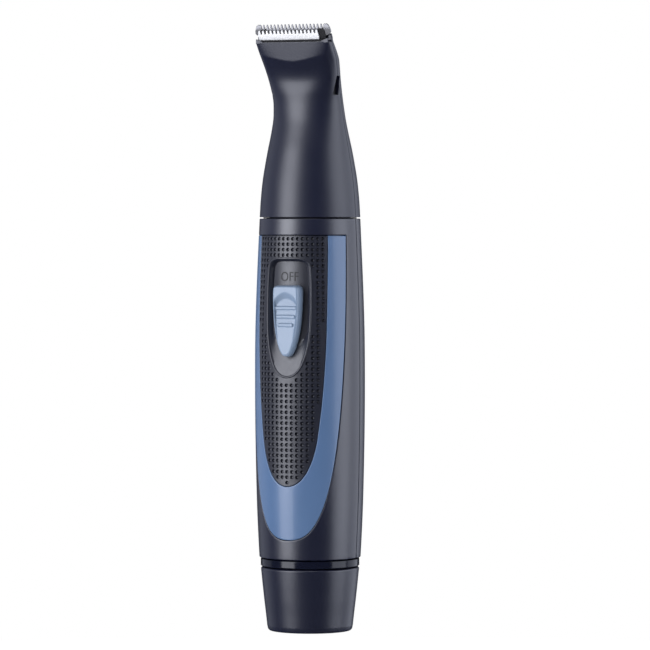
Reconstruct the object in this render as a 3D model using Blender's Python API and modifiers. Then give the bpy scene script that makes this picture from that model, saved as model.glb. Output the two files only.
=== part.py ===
"""A pen-shaped, battery driven body groomer, as the separate pieces it comes apart into.

Lengths are in millimetres and every mesh is scaled to metres as it is made. Z is up, the
front of the handle faces -Y, and the origin is the middle of the cap's flat base, on which
the groomer stands.
"""

import math

import bmesh
import bpy
from mathutils import Matrix, Vector

MM = 0.001
GAP = 0.3                       # clearance kept between neighbouring pieces

# Heights up the groomer
CAP_TOP = 16.3
CAP_RING_TOP = 18.5
HANDLE_BOTTOM = 18.8
HANDLE_TOP = 105.3
HEAD_BOTTOM = 105.65
BATTERY_BOTTOM = 10.5
MOTOR_BOTTOM = 66.5
MOTOR_TOP = 91.0
LEVER_PIVOT = 130.0

# Blades: the point on the comb that distances down it are measured from, how far the blades
# lean towards the front, and how far down their teeth start
COMB_TIP = Vector((0.0, -11.0, 155.0))
BLADE_LEAN = math.radians(22.6)
COMB_TIPS = 0.7
CUTTER_TIPS = 1.95

# The handle's outer outline, as (radius, height) from the top down
HANDLE_OUTLINE = [
    (12.87, HANDLE_TOP), (13.1, 100.0), (13.45, 92.0), (13.74, 84.5), (13.97, 76.0), (14.06, 66.0),
    (14.03, 56.0), (13.9, 46.0), (13.6, 33.0), (13.25, 24.5), (12.95, HANDLE_BOTTOM),
]
HANDLE_WALL = 1.6
FLAT_RADIUS = 14.0              # the handle's skin is laid out flat at this radius
INLAY_DEPTH = 0.7               # thickness of the pieces let into the front shell

# Edges of the front inlays: control points in degrees round from the front, and height
INLAY_TOP = 101.0
BAND_EDGE = [
    [(0, 23.9), (20, 23.9), (29, 26.3), (39, 31.9)],
    [(39, 31.9), (56, 42.3), (63, 60.4), (69.5, INLAY_TOP)],
]
PANEL_EDGE = [
    [(0, 37.6), (19, 37.6), (29.4, 44.0), (33, 50.3)],
    [(33, 50.3), (43.5, 68.0), (42.5, 81.0), (45.5, INLAY_TOP)],
]

# Switch well: its half outline in degrees and height, and the depth of its curved floor
WELL_EDGE = [
    (0, 65.2), (11, 66.3), (19, 70.0), (24.9, 77.0), (24.9, 92.4), (21.5, 94.3), (15, 95.0), (0, 95.0),
]
WELL_DEPTH = 1.3
WELL_PAN = 0.8                  # thickness of the well's floor and walls
# Button: its half outline in X and Z, and the Y of its two faces
BUTTON_HALF = [
    (0, 88.5), (2.6, 88.4), (3.5, 87.4), (3.7, 85.6), (3.5, 79.5), (2.7, 74.2), (1.4, 71.2), (0, 70.3),
]
BUTTON_FACE_Y = -14.9
BUTTON_BACK_Y = -13.05
SWITCH_TRAVEL = 4.0

# Drive: the cutter's stroke sets the lever's swing and the crank's throw
CUTTER_STROKE = 2.2
LEVER_UP = 16.0
LEVER_DOWN = 17.0
LEVER_SWING = CUTTER_STROKE / LEVER_UP
CRANK_THROW = LEVER_SWING * LEVER_DOWN / 2
CRANK_PIN_RADIUS = 0.75
CUTTER_REST_X = -CUTTER_STROKE / 2

# The head's sections: height, half width, centre, half depth and squareness (2 is an ellipse)
HEAD_SECTIONS = [
    (HEAD_BOTTOM, 12.85, 0.0, 12.85, 2.0), (110.0, 12.6, 0.0, 12.6, 2.0), (115.0, 12.1, 0.0, 12.1, 2.0),
    (119.0, 11.5, 0.0, 11.3, 2.0), (122.8, 10.85, 0.0, 10.4, 2.0), (126.7, 10.15, -0.1, 9.0, 2.0),
    (130.5, 9.6, -0.3, 7.6, 2.0), (133.0, 9.4, -0.65, 6.9, 2.05), (135.6, 9.3, -1.2, 6.3, 2.1),
    (138.2, 9.3, -2.2, 5.6, 2.5), (140.7, 9.5, -3.4, 4.9, 3.0), (143.3, 9.85, -4.7, 4.4, 3.5),
    (145.8, 10.2, -6.1, 4.0, 4.0), (148.0, 10.3, -7.7, 3.0, 5.0), (150.2, 10.35, -9.25, 1.95, 6.0),
]
HEAD_WALL = 1.0

# Finishes: colour, roughness and metallic
FINISHES = {
    "navy_plastic": ((0.040, 0.046, 0.085), 0.42, 0.0),
    "black_gloss": ((0.008, 0.009, 0.016), 0.12, 0.0),
    "blue_satin": ((0.130, 0.210, 0.330), 0.35, 0.0),
    "grip_rubber": ((0.022, 0.026, 0.045), 0.62, 0.0),
    "blue_button": ((0.260, 0.360, 0.480), 0.38, 0.0),
    "comb_steel": ((0.45, 0.45, 0.47), 0.30, 1.0),
    "cutter_steel": ((0.80, 0.80, 0.82), 0.15, 1.0),
    "black_plastic": ((0.012, 0.012, 0.014), 0.50, 0.0),
    "white_plastic": ((0.70, 0.70, 0.66), 0.45, 0.0),
    "spring_steel": ((0.62, 0.62, 0.62), 0.25, 1.0),
    "nickel_contact": ((0.66, 0.62, 0.54), 0.28, 1.0),
    "motor_steel": ((0.50, 0.50, 0.52), 0.35, 1.0),
    "seal_rubber": ((0.015, 0.015, 0.016), 0.70, 0.0),
    "battery_wrap": ((0.05, 0.16, 0.12), 0.30, 0.0),
    "red_lead": ((0.45, 0.02, 0.02), 0.45, 0.0),
    "black_lead": ((0.02, 0.02, 0.02), 0.45, 0.0),
}


# ---------------------------------------------------------------- scene and materials

def clear_scene():
    for old in list(bpy.data.objects):
        bpy.data.objects.remove(old)


def new_collection(name):
    made = bpy.data.collections.new(name)
    bpy.context.scene.collection.children.link(made)
    return made


def new_material(name):
    colour, roughness, metallic = FINISHES[name]
    material = bpy.data.materials.new(name)
    material.use_nodes = True
    shader = material.node_tree.nodes["Principled BSDF"]
    shader.inputs["Base Color"].default_value = (*colour, 1.0)
    shader.inputs["Roughness"].default_value = roughness
    shader.inputs["Metallic"].default_value = metallic
    return material


clear_scene()
PARTS = new_collection("body_groomer")
CUTTERS = new_collection("cutters")
MATERIALS = {name: new_material(name) for name in FINISHES}


def add_object(name, mesh, finish=None, origin=(0, 0, 0)):
    """Links a mesh made in millimetres as an object in metres; without a finish it is a cutter."""
    mesh.transform(Matrix.Scale(MM, 4) @ Matrix.Translation(-Vector(origin)))
    mesh.shade_smooth()
    mesh.set_sharp_from_angle(angle=math.radians(35))
    made = bpy.data.objects.new(name, mesh)
    made.location = Vector(origin) * MM
    if finish:
        mesh.materials.append(MATERIALS[finish])
        PARTS.objects.link(made)
    else:
        CUTTERS.objects.link(made)
        made.hide_render = True
        made.display_type = "WIRE"
    return made


def mesh_from(bm, name):
    bmesh.ops.recalc_face_normals(bm, faces=bm.faces)
    mesh = bpy.data.meshes.new(name)
    bm.to_mesh(mesh)
    bm.free()
    return mesh


# ---------------------------------------------------------------- shapes

def box(name, low, high, finish=None, origin=(0, 0, 0)):
    """An upright box between two corners."""
    low, high = Vector(low), Vector(high)
    bm = bmesh.new()
    bmesh.ops.create_cube(bm, size=1.0)
    size = Matrix.Diagonal((*(high - low), 1.0))
    bmesh.ops.transform(bm, matrix=Matrix.Translation((low + high) / 2) @ size, verts=bm.verts)
    return add_object(name, mesh_from(bm, name), finish, origin)


def rod(name, start, end, radius, finish=None, sides=24, origin=(0, 0, 0)):
    """A round bar between two points."""
    start, end = Vector(start), Vector(end)
    along = end - start
    bm = bmesh.new()
    bmesh.ops.create_cone(
        bm, cap_ends=True, segments=sides, radius1=radius, radius2=radius, depth=along.length)
    turn = Vector((0, 0, 1)).rotation_difference(along).to_matrix().to_4x4()
    bmesh.ops.transform(bm, matrix=Matrix.Translation((start + end) / 2) @ turn, verts=bm.verts)
    return add_object(name, mesh_from(bm, name), finish, origin)


def ring(name, height, mean_radius, wire_radius, finish):
    """An O-ring lying level round the Z axis."""
    profile = []
    for step in range(6):
        turn = -2 * math.pi * step / 6
        profile.append((mean_radius + wire_radius * math.cos(turn), height + wire_radius * math.sin(turn)))
    return turned(name, profile, finish, steps=28)


def turned(name, profile, finish=None, closed=True, steps=48, sweep=360.0, start=0.0):
    """A profile of (radius, height) points, outer side running down, turned about Z."""
    mesh = bpy.data.meshes.new(name)
    points = [(radius, 0.0, height) for radius, height in profile]
    edges = [(i, i + 1) for i in range(len(points) - 1)]
    if closed:
        edges.append((len(points) - 1, 0))
    mesh.from_pydata(points, edges, [])
    made = add_object(name, mesh, finish)
    made.rotation_euler.z = math.radians(start)
    screw = made.modifiers.new("turn", "SCREW")
    screw.angle = math.radians(sweep)
    screw.steps = screw.render_steps = steps
    screw.use_merge_vertices = sweep == 360.0
    screw.merge_threshold = 0.00001
    screw.use_smooth_shade = True
    return made


def outline_mesh(name, outline, thickness, holes=()):
    """A closed slab in the XY plane, filled from outlines and centred on Z = 0."""
    curve = bpy.data.curves.new(name, "CURVE")
    curve.dimensions = "2D"
    curve.fill_mode = "BOTH"
    curve.extrude = thickness / 2
    for loop in (outline, *holes):
        spline = curve.splines.new("POLY")
        spline.points.add(len(loop) - 1)
        for point, (x, y) in zip(spline.points, loop):
            point.co = (x, y, 0.0, 1.0)
        spline.use_cyclic_u = True
    drawn = bpy.data.objects.new(name, curve)
    CUTTERS.objects.link(drawn)
    depsgraph = bpy.context.evaluated_depsgraph_get()
    mesh = bpy.data.meshes.new_from_object(drawn.evaluated_get(depsgraph))
    bpy.data.objects.remove(drawn)
    bm = bmesh.new()
    bm.from_mesh(mesh)
    bmesh.ops.remove_doubles(bm, verts=bm.verts, dist=0.001)
    bmesh.ops.recalc_face_normals(bm, faces=bm.faces)
    bm.to_mesh(mesh)
    bm.free()
    return mesh


def plate_xz(name, outline, front_y, back_y, finish=None, origin=(0, 0, 0), holes=()):
    """An outline in X and Z, filled and as thick as the space between two Y planes."""
    mesh = outline_mesh(name, outline, back_y - front_y, holes)
    stand = Matrix.Rotation(math.radians(90), 4, "X")
    mesh.transform(Matrix.Translation((0, (front_y + back_y) / 2, 0)) @ stand)
    return add_object(name, mesh, finish, origin)


def plate_yz(name, outline, low_x, high_x, finish=None, origin=(0, 0, 0)):
    """An outline in Y and Z, filled and as thick as the space between two X planes."""
    mesh = outline_mesh(name, outline, high_x - low_x)
    axes = Matrix(((0, 0, 1, 0), (1, 0, 0, 0), (0, 1, 0, 0), (0, 0, 0, 1)))
    mesh.transform(Matrix.Translation(((low_x + high_x) / 2, 0, 0)) @ axes)
    return add_object(name, mesh, finish, origin)


def plate_xy(name, outline, low_z, high_z, finish=None, origin=(0, 0, 0), holes=()):
    """An outline in X and Y, filled and as thick as the space between two heights."""
    mesh = outline_mesh(name, outline, high_z - low_z, holes)
    mesh.transform(Matrix.Translation((0, 0, (low_z + high_z) / 2)))
    return add_object(name, mesh, finish, origin)


BLADE_UP = Vector((0.0, -math.sin(BLADE_LEAN), math.cos(BLADE_LEAN)))
BLADE_FRONT = Vector((0.0, -math.cos(BLADE_LEAN), -math.sin(BLADE_LEAN)))


def blade_point(x, down, out):
    """A point in the blades' leaning plane: down from the comb's tips, and out to the front."""
    return COMB_TIP + Vector((x, 0, 0)) - BLADE_UP * down + BLADE_FRONT * out


def blade_plate(name, outline, back, front, finish=None, holes=()):
    """A plate lying in the blades' plane, its outline in X and distance down from the tips."""
    mesh = outline_mesh(name, outline, front - back, holes)
    middle = blade_point(0, 0, (front + back) / 2)
    axes = Matrix.Identity(4)
    axes.col[1] = (*(-BLADE_UP), 0.0)
    axes.col[2] = (*BLADE_FRONT, 0.0)
    axes.col[3] = (*middle, 1.0)
    mesh.transform(axes)
    mesh.flip_normals()
    bm = bmesh.new()
    bm.from_mesh(mesh)
    return add_object(name, mesh_from(bm, name), finish)


def wire(name, points, radius, finish, resolution=2):
    """A round wire along a path of points, as a closed mesh."""
    curve = bpy.data.curves.new(name, "CURVE")
    curve.dimensions = "3D"
    curve.bevel_depth = radius
    curve.bevel_resolution = resolution
    curve.use_fill_caps = True
    spline = curve.splines.new("POLY")
    spline.points.add(len(points) - 1)
    for knot, point in zip(spline.points, points):
        knot.co = (*point, 1.0)
    drawn = bpy.data.objects.new(name, curve)
    CUTTERS.objects.link(drawn)
    depsgraph = bpy.context.evaluated_depsgraph_get()
    mesh = bpy.data.meshes.new_from_object(drawn.evaluated_get(depsgraph))
    bpy.data.objects.remove(drawn)
    bm = bmesh.new()
    bm.from_mesh(mesh)
    bmesh.ops.remove_doubles(bm, verts=bm.verts, dist=0.0001)
    return add_object(name, mesh_from(bm, name), finish)


def smooth_path(points, steps):
    """A smooth path through a few points (Catmull-Rom)."""
    knots = [Vector(p) for p in (points[0], *points, points[-1])]
    path = []
    for a, b, c, d in zip(knots, knots[1:], knots[2:], knots[3:]):
        for step in range(steps):
            t = step / steps
            path.append(0.5 * (2 * b + (c - a) * t + (2 * a - 5 * b + 4 * c - d) * t ** 2
                               + (3 * b - a - 3 * c + d) * t ** 3))
    path.append(Vector(points[-1]))
    return path


def bezier(segments, steps=6):
    """Points along joined cubic curves, each given by its four control points."""
    path = []
    for segment in segments:
        p0, p1, p2, p3 = (Vector(p) for p in segment)
        for step in range(steps):
            t = step / steps
            path.append((1 - t) ** 3 * p0 + 3 * (1 - t) ** 2 * t * p1
                        + 3 * (1 - t) * t * t * p2 + t ** 3 * p3)
    path.append(Vector(segments[-1][-1]))
    return path


def mirrored(half):
    """A closed outline from its right half, which starts and ends at X = 0."""
    return list(half) + [(-x, z) for x, z in reversed(half[1:-1])]


def cut(target, cutter, operation="DIFFERENCE"):
    """Cuts, or joins, one object with another by a Boolean modifier."""
    change = target.modifiers.new(cutter.name, "BOOLEAN")
    change.operation = operation
    change.object = cutter
    return target


def join(target, *others):
    for other in others:
        cut(target, other, "UNION")
    return target


# ---------------------------------------------------------------- handle

def handle_radius(height):
    """The handle's outer radius at a height."""
    for (r_high, z_high), (r_low, z_low) in zip(HANDLE_OUTLINE, HANDLE_OUTLINE[1:]):
        if height >= z_low:
            return r_low + (r_high - r_low) * (height - z_low) / (z_high - z_low)
    return HANDLE_OUTLINE[-1][0]


def wrapped_plate(name, edge, deep, shallow, finish=None, inner_edge=None):
    """A piece let into the handle's front, its half outlines in degrees and heights.

    It reaches from `deep` to `shallow` under the handle's surface.
    """
    left = [(-angle, height) for angle, height in edge]
    if inner_edge is None:
        outline = [*edge, *reversed(left)]
    else:
        inner = list(reversed(inner_edge))
        outline = [*reversed(left), *edge, *inner, *((-angle, height) for angle, height in inner_edge)]
    mesh = outline_mesh(name, outline, 1.0)
    bm = bmesh.new()
    bm.from_mesh(mesh)
    # a cutter is sliced at other places than a piece, so that their edges don't coincide
    for angle in range(-63, 64, 9):
        slice_at(bm, (angle if finish else angle + 4.5, 0, 0), (1, 0, 0))
    for _, height in HANDLE_OUTLINE[1 if finish else 2:-1:2]:
        slice_at(bm, (0, height, 0), (0, 1, 0))
    bmesh.ops.triangulate(bm, faces=bm.faces)
    for vert in bm.verts:
        angle, height, side = math.radians(vert.co.x), vert.co.y, vert.co.z
        radius = handle_radius(height) - (shallow if side > 0 else deep)
        vert.co = (radius * math.sin(angle), -radius * math.cos(angle), height)
    return add_object(name, mesh_from(bm, name), finish)


def slice_at(bm, point, normal):
    everything = bm.verts[:] + bm.edges[:] + bm.faces[:]
    bmesh.ops.bisect_plane(bm, geom=everything, plane_co=point, plane_no=normal, dist=0.0001)


def half_shell(name, facing):
    """One half of the handle's casing; facing is -90 degrees for the front and 90 for the rear."""
    half_gap = math.degrees(0.75 * GAP / handle_radius(HANDLE_TOP))
    sweep = 180.0 - 2 * half_gap
    shell = turned(name, HANDLE_OUTLINE, "navy_plastic", closed=False, steps=24, sweep=sweep,
                   start=facing - sweep / 2)
    skin = shell.modifiers.new("wall", "SOLIDIFY")
    skin.thickness = HANDLE_WALL * MM
    skin.offset = -1.0
    shell.modifiers.new("facets", "TRIANGULATE")
    return shell


def widened(edge, by):
    """An inlay edge, from the bottom upwards, moved outwards by a distance along the surface."""
    scale = math.radians(FLAT_RADIUS)
    flat = [Vector((angle * scale, height)) for angle, height in edge]
    along = [after - before for before, after in zip(flat, flat[2:])]
    along = [flat[1] - flat[0], *along, flat[-1] - flat[-2]]
    moved = [here + Vector((way.y, -way.x)).normalized() * by for here, way in zip(flat, along)]
    moved[0].x = 0.0
    if edge[-1][0] == 0:
        moved[-1].x = 0.0
    return [Vector((point.x / scale, point.y)) for point in moved]


def build_casing():
    band_edge, panel_edge = bezier(BAND_EDGE), bezier(PANEL_EDGE)
    front = half_shell("front_shell", -90)
    recess_edge = widened(band_edge, GAP)
    recess_edge[-1].y = INLAY_TOP + GAP
    cut(front, wrapped_plate("inlay_recess", recess_edge, INLAY_DEPTH + GAP, -3.0))
    window_edge = widened(WELL_EDGE, WELL_PAN + GAP)
    cut(front, wrapped_plate("switch_window", window_edge, HANDLE_WALL + 1.0, -2.0))
    half_shell("rear_shell", 90)

    gap_edge = widened(panel_edge, GAP)
    gap_edge[-1].y = INLAY_TOP
    wrapped_plate("trim_band", band_edge, INLAY_DEPTH, 0.0, "blue_satin", inner_edge=gap_edge)

    panel = wrapped_plate("grip_panel", panel_edge, INLAY_DEPTH, 0.0, "grip_rubber")
    pan = wrapped_plate("well_pan", widened(WELL_EDGE, WELL_PAN), WELL_DEPTH + WELL_PAN, INLAY_DEPTH / 2)
    cavity = wrapped_plate("well_cavity", WELL_EDGE, WELL_DEPTH, -2.0)
    stem_slot = box("stem_slot", (-1.1, -13.5, 77.6), (1.1, -11.0, 82.4 + SWITCH_TRAVEL))
    join(panel, pan)
    cut(panel, cavity)
    cut(panel, stem_slot)


def build_switch():
    button = plate_xz("switch_button", mirrored(BUTTON_HALF), BUTTON_FACE_Y, BUTTON_BACK_Y,
                      "blue_button", origin=(0, BUTTON_BACK_Y, 79.4))
    join(button, box("button_stem", (-0.8, -13.2, 78.0), (0.8, -11.5, 82.0)))
    box("switch_slider", (-2.8, -10.9, 75.0), (2.8, -10.1, 86.0), "white_plastic")
    box("switch_bridge", (-2.6, -9.85, 76.0), (2.6, -9.7, 83.0), "nickel_contact")
    box("switch_contact", (0.6, -9.4, 79.5), (2.4, -9.2, 92.0), "nickel_contact")
    detent = smooth_path([(3.7, -10.3, 73.0), (3.7, -10.3, 77.5), (3.4, -10.3, 79.0), (3.7, -10.3, 80.5),
                          (3.7, -10.3, 81.5), (3.4, -10.3, 83.0), (3.7, -10.3, 84.5), (3.7, -10.3, 89.0)], 3)
    wire("detent_spring", detent, 0.22, "spring_steel")


# ---------------------------------------------------------------- battery, cap and chassis

def build_cap():
    inner = [(0.0, 1.5), (9.3, 1.5), (9.3, 14.0), (8.5, 14.8), (8.5, 20.5)]
    neck = [(9.7, 20.5), (9.7, 18.3), (9.1, 18.3), (9.1, 17.3), (9.7, 17.3), (9.7, CAP_TOP)]
    outer = [(12.3, CAP_TOP), (12.58, CAP_TOP - 0.3), (11.7, 8.0), (10.95, 1.2), (10.6, 0.0), (0.0, 0.0)]
    turned("end_cap", inner + neck + outer, "navy_plastic", closed=False, steps=40)
    ring("cap_seal", 17.8, 9.5, 0.27, "seal_rubber")
    profile = [(11.0, 23.5), (11.0, CAP_RING_TOP), (12.6, CAP_RING_TOP), (12.6, 16.6), (10.0, 16.6),
               (10.0, 23.5)]
    turned("cap_ring", profile, "black_gloss", steps=40)

    plate = rod("cap_contact", (0, 0, 1.8), (0, 0, 2.1), 7.9, "nickel_contact", sides=32)
    join(plate, box("contact_tab", (-1.5, 7.5, 1.9), (1.5, 7.8, 20.5)))
    turns, start, end = 4.0, 2.9, 9.7
    coil = []
    for step in range(int(turns * 10) + 1):
        part = step / (turns * 10)
        radius = 5.6 - 2.0 * part
        turn = 2 * math.pi * turns * part
        coil.append((radius * math.cos(turn), radius * math.sin(turn), start + (end - start) * part))
    wire("cap_spring", coil, 0.4, "spring_steel")


def build_battery():
    profile = [(0.0, 61.0), (2.75, 61.0), (2.75, 59.8), (6.6, 59.8), (7.25, 59.2), (7.25, 11.1),
               (6.7, BATTERY_BOTTOM), (0.0, BATTERY_BOTTOM)]
    turned("battery", profile, "battery_wrap", closed=False, steps=32)


def build_chassis():
    tube = [(8.75, 64.0), (8.75, 21.5), (7.75, 21.5), (7.75, 62.0), (3.0, 62.0), (3.0, 64.0)]
    frame = turned("inner_frame", tube, "white_plastic", steps=40)
    front_plate = box("frame_front_plate", (-5.0, -8.9, 63.0), (5.0, -8.0, 96.5))
    rear_plate = box("frame_rear_plate", (-5.0, 8.0, 63.0), (5.0, 8.9, 96.5))
    join(frame, front_plate, rear_plate)
    cut(frame, box("tab_slot", (-2.8, -9.5, 60.9), (-0.2, -7.0, 62.2)))

    contact = rod("positive_contact", (0, 0, 61.3), (0, 0, 61.6), 4.0, "nickel_contact")
    tab = box("positive_tab", (-2.4, -9.5, 61.3), (-0.6, -2.0, 61.6))
    riser = box("positive_riser", (-2.4, -9.5, 61.35), (-0.6, -9.2, 80.0))
    join(contact, tab, riser)
    strip = box("negative_strip", (-1.5, 9.1, 20.8), (1.5, 9.4, 62.0), "nickel_contact")
    join(strip, box("strip_foot", (-1.5, 7.5, 20.8), (1.5, 9.2, 21.1)))


def motor_outline():
    """The can's round section with its two flats."""
    flat, radius = 7.7, 10.0
    corner = math.asin(flat / radius)
    side = [(radius * math.cos(a), radius * math.sin(a))
            for a in (corner * (step / 6 - 1) for step in range(13))]
    return side + [(-x, -y) for x, y in side]


def build_motor():
    can = plate_xy("motor_can", motor_outline(), MOTOR_BOTTOM + 2.5, MOTOR_TOP, "motor_steel")
    boss = rod("motor_boss", (0, 0, MOTOR_TOP - 1), (0, 0, MOTOR_TOP + 1.6), 3.0)
    join(can, boss)
    cut(can, rod("shaft_bore", (0, 0, MOTOR_TOP - 4), (0, 0, MOTOR_TOP + 3), 1.4))
    plate_xy("motor_end_cap", motor_outline(), MOTOR_BOTTOM, MOTOR_BOTTOM + 2.2, "white_plastic")
    bracket = rod("motor_bracket", (0, 0, MOTOR_TOP + 0.6), (0, 0, MOTOR_TOP + 1.8), 10.2,
                  "black_plastic", sides=40)
    cut(bracket, rod("boss_hole", (0, 0, MOTOR_TOP - 1), (0, 0, MOTOR_TOP + 3), 3.4))
    for plate_side in (-1, 1):
        low_y, high_y = sorted((plate_side * 7.7, plate_side * 11.0))
        cut(bracket, box(f"plate_slot_{plate_side}", (-5.4, low_y, MOTOR_TOP), (5.4, high_y, MOTOR_TOP + 3)))
    for number, x in ((1, -6.0), (2, 6.0)):
        hole = rod(f"motor_hole_{number}", (x, 0, MOTOR_TOP - 2), (x, 0, MOTOR_TOP + 3), 1.1)
        cut(can, hole)
        cut(bracket, hole)
        screw = rod(f"motor_screw_{number}", (x, 0, MOTOR_TOP - 1.6), (x, 0, MOTOR_TOP + 2.2), 0.8,
                    "spring_steel", sides=16)
        head = rod(f"motor_screw_head_{number}", (x, 0, MOTOR_TOP + 2.1), (x, 0, MOTOR_TOP + 3.1), 1.5,
                   sides=20)
        join(screw, head)


def build_rotor():
    rod("motor_shaft", (0, 0, MOTOR_TOP - 3.5), (0, 0, 100.7), 1.0, "spring_steel", sides=20)
    cam = rod("eccentric_cam", (0, 0, 98.5), (0, 0, 103.0), 3.0, "white_plastic", sides=32)
    pin = rod("crank_pin", (CRANK_THROW, 0, 102.5), (CRANK_THROW, 0, 114.5), CRANK_PIN_RADIUS, sides=20)
    join(cam, pin)
    cut(cam, rod("cam_bore", (0, 0, 97.0), (0, 0, 101.0), 1.3, sides=20))


def build_spigot():
    profile = [(10.2, 110.5), (10.2, 104.6), (10.9, 104.6), (10.9, 97.0), (9.4, 97.0), (9.4, 103.0),
               (8.8, 103.6), (8.8, 108.9), (4.0, 108.9), (4.0, 110.5)]
    turned("head_spigot", profile, "black_plastic", steps=40)
    ring("neck_seal", 107.2, 10.85, 0.3, "seal_rubber")


def build_leads():
    red = smooth_path([(1.5, -10.1, 90.5), (5.7, -9.4, 92.8), (7.4, -8.2, 88.5), (7.7, -7.9, 80.0),
                       (7.7, -7.9, 71.0), (8.1, -7.4, 67.4), (7.9, -6.2, 65.2), (6.0, -3.4, 65.2)], 4)
    wire("lead_positive", red, 0.45, "red_lead")
    black = smooth_path([(2.0, 10.1, 58.5), (4.2, 10.0, 61.5), (7.4, 8.0, 64.8), (8.0, 5.0, 65.3),
                         (5.6, 3.0, 65.3)], 4)
    wire("lead_negative", black, 0.45, "black_lead")


# ---------------------------------------------------------------- head

def head_point(section, turn, wall, side):
    """A point on the head's skin; side is -1 for the front half and 1 for the rear."""
    height, half_width, centre, half_depth, square = section
    power = 2 / square
    x = (half_width - wall) * math.copysign(abs(math.cos(turn)) ** power, math.cos(turn))
    y = (half_depth - wall) * abs(math.sin(turn)) ** power
    return (x, centre + side * max(y, GAP / 2), height)


def head_half(name, side, finish):
    """One half of the head's casing, lofted through its sections with an even wall."""
    bm = bmesh.new()
    count = 19
    skins = []
    for wall in (0.0, HEAD_WALL):
        rows = []
        for section in HEAD_SECTIONS:
            turns = [math.pi * step / (count - 1) for step in range(count)]
            rows.append([bm.verts.new(head_point(section, turn, wall, side)) for turn in turns])
        skins.append(rows)
    for rows in skins:
        for low, high in zip(rows, rows[1:]):
            for i in range(count - 1):
                bm.faces.new((low[i], low[i + 1], high[i + 1], high[i]))
    outer, inner = skins
    for end in (0, -1):
        for i in range(count - 1):
            bm.faces.new((outer[end][i], outer[end][i + 1], inner[end][i + 1], inner[end][i]))
        for low in range(len(outer) - 1):
            bm.faces.new((outer[low][end], outer[low + 1][end], inner[low + 1][end], inner[low][end]))
    return add_object(name, mesh_from(bm, name), finish)


def build_head_casing():
    head_half("head_front_body", -1, "navy_plastic")
    head_half("head_rear_cover", 1, "navy_plastic")


def build_head_frame():
    flange = [(8.4, 124.2), (8.4, 121.8), (6.4, 121.8), (6.4, 124.2)]
    frame = turned("head_frame", flange, "black_plastic", steps=36)
    join(frame, box("pivot_block", (-6.4, -3.9, 123.0), (6.4, 3.0, 132.5)))
    cut(frame, box("pivot_space", (-5.3, -2.8, 120.0), (5.3, 1.9, 134.0)))
    pad_low, pad_high = blade_point(0, 13.3, -0.6), blade_point(0, 9.4, -0.6)
    pad_back = blade_point(0, 9.4, -1.8)
    arm = [(-3.4, 130.0), (-3.8, 136.0), (-4.5, 140.0), (pad_low.y, pad_low.z), (pad_high.y, pad_high.z),
           (pad_back.y, pad_back.z), (-3.0, 143.0), (-0.6, 139.0), (1.0, 135.0), (2.0, 130.0)]
    for number, low_x in ((1, -6.0), (2, 3.6)):
        join(frame, plate_yz(f"frame_arm_{number}", arm, low_x, low_x + 2.4))
    cut(frame, rod("pin_bore", (0, -5.0, LEVER_PIVOT), (0, 5.0, LEVER_PIVOT), 1.1))
    rod("lever_pin", (0, -3.8, LEVER_PIVOT), (0, 2.9, LEVER_PIVOT), 0.8, "spring_steel", sides=20)
    for number, x in ((1, -4.8), (2, 4.8)):
        hole = rod(f"blade_hole_{number}", blade_point(x, 12, -4.2), blade_point(x, 12, 0), 0.8, sides=16)
        cut(frame, hole)
        screw = rod(f"comb_screw_{number}", blade_point(x, 12, -3.0), blade_point(x, 12, 1.2), 0.5,
                    "spring_steel", sides=16)
        head = rod(f"comb_screw_head_{number}", blade_point(x, 12, 1.1), blade_point(x, 12, 1.5), 1.0,
                   sides=20)
        join(screw, head)


def build_lever():
    """The drive lever, drawn upright and then swung to the end of its stroke."""
    pivot = (0, 0, LEVER_PIVOT)
    shank = [(-1.0, 115.0), (-1.3, 126.0), (-1.8, 133.0), (-3.0, 138.0), (-4.6, 142.0), (-5.9, 145.0),
             (-5.9, 146.1), (-4.7, 146.1), (-3.0, 141.5), (-1.1, 137.0), (0.5, 131.0), (1.0, 125.0),
             (1.0, 115.0)]
    lever = plate_yz("drive_lever", shank, -0.75, 0.75, "white_plastic", origin=pivot)
    reach = CRANK_THROW * 2 + CRANK_PIN_RADIUS + 0.25
    fork = box("lever_fork", (-reach - 1.4, -2.3, 111.2), (reach + 1.4, 2.3, 117.0), origin=pivot)
    boss = rod("lever_boss", (0, -2.5, LEVER_PIVOT), (0, 1.6, LEVER_PIVOT), 2.3, origin=pivot)
    slot = box("fork_slot", (-reach, -3.0, 110.0), (reach, 3.0, 115.2), origin=pivot)
    bore = rod("lever_bore", (0, -4.0, LEVER_PIVOT), (0, 4.0, LEVER_PIVOT), 1.1, origin=pivot)
    join(lever, boss, fork)
    cut(lever, slot)
    cut(lever, bore)
    for piece in (lever, boss, fork, slot, bore):
        piece.rotation_euler.y = -LEVER_SWING / 2


def circle(x, down, radius, sides=16):
    turns = [2 * math.pi * step / sides for step in range(sides)]
    return [(x + radius * math.cos(turn), down + radius * math.sin(turn)) for turn in turns]


def toothed_edge(left, right, tips, roots, pitch, tooth_share):
    """Points along a row of teeth from left to right."""
    count = int((right - left) / pitch)
    step = (right - left) / count
    tooth = step * tooth_share
    points = []
    for number in range(count + 1):
        middle = left + step * number
        points += [(middle - tooth / 2, roots), (middle - tooth * 0.4, tips), (middle + tooth * 0.4, tips),
                   (middle + tooth / 2, roots), (middle + step / 2, roots + 0.15)]
    return points[:-1]


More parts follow.
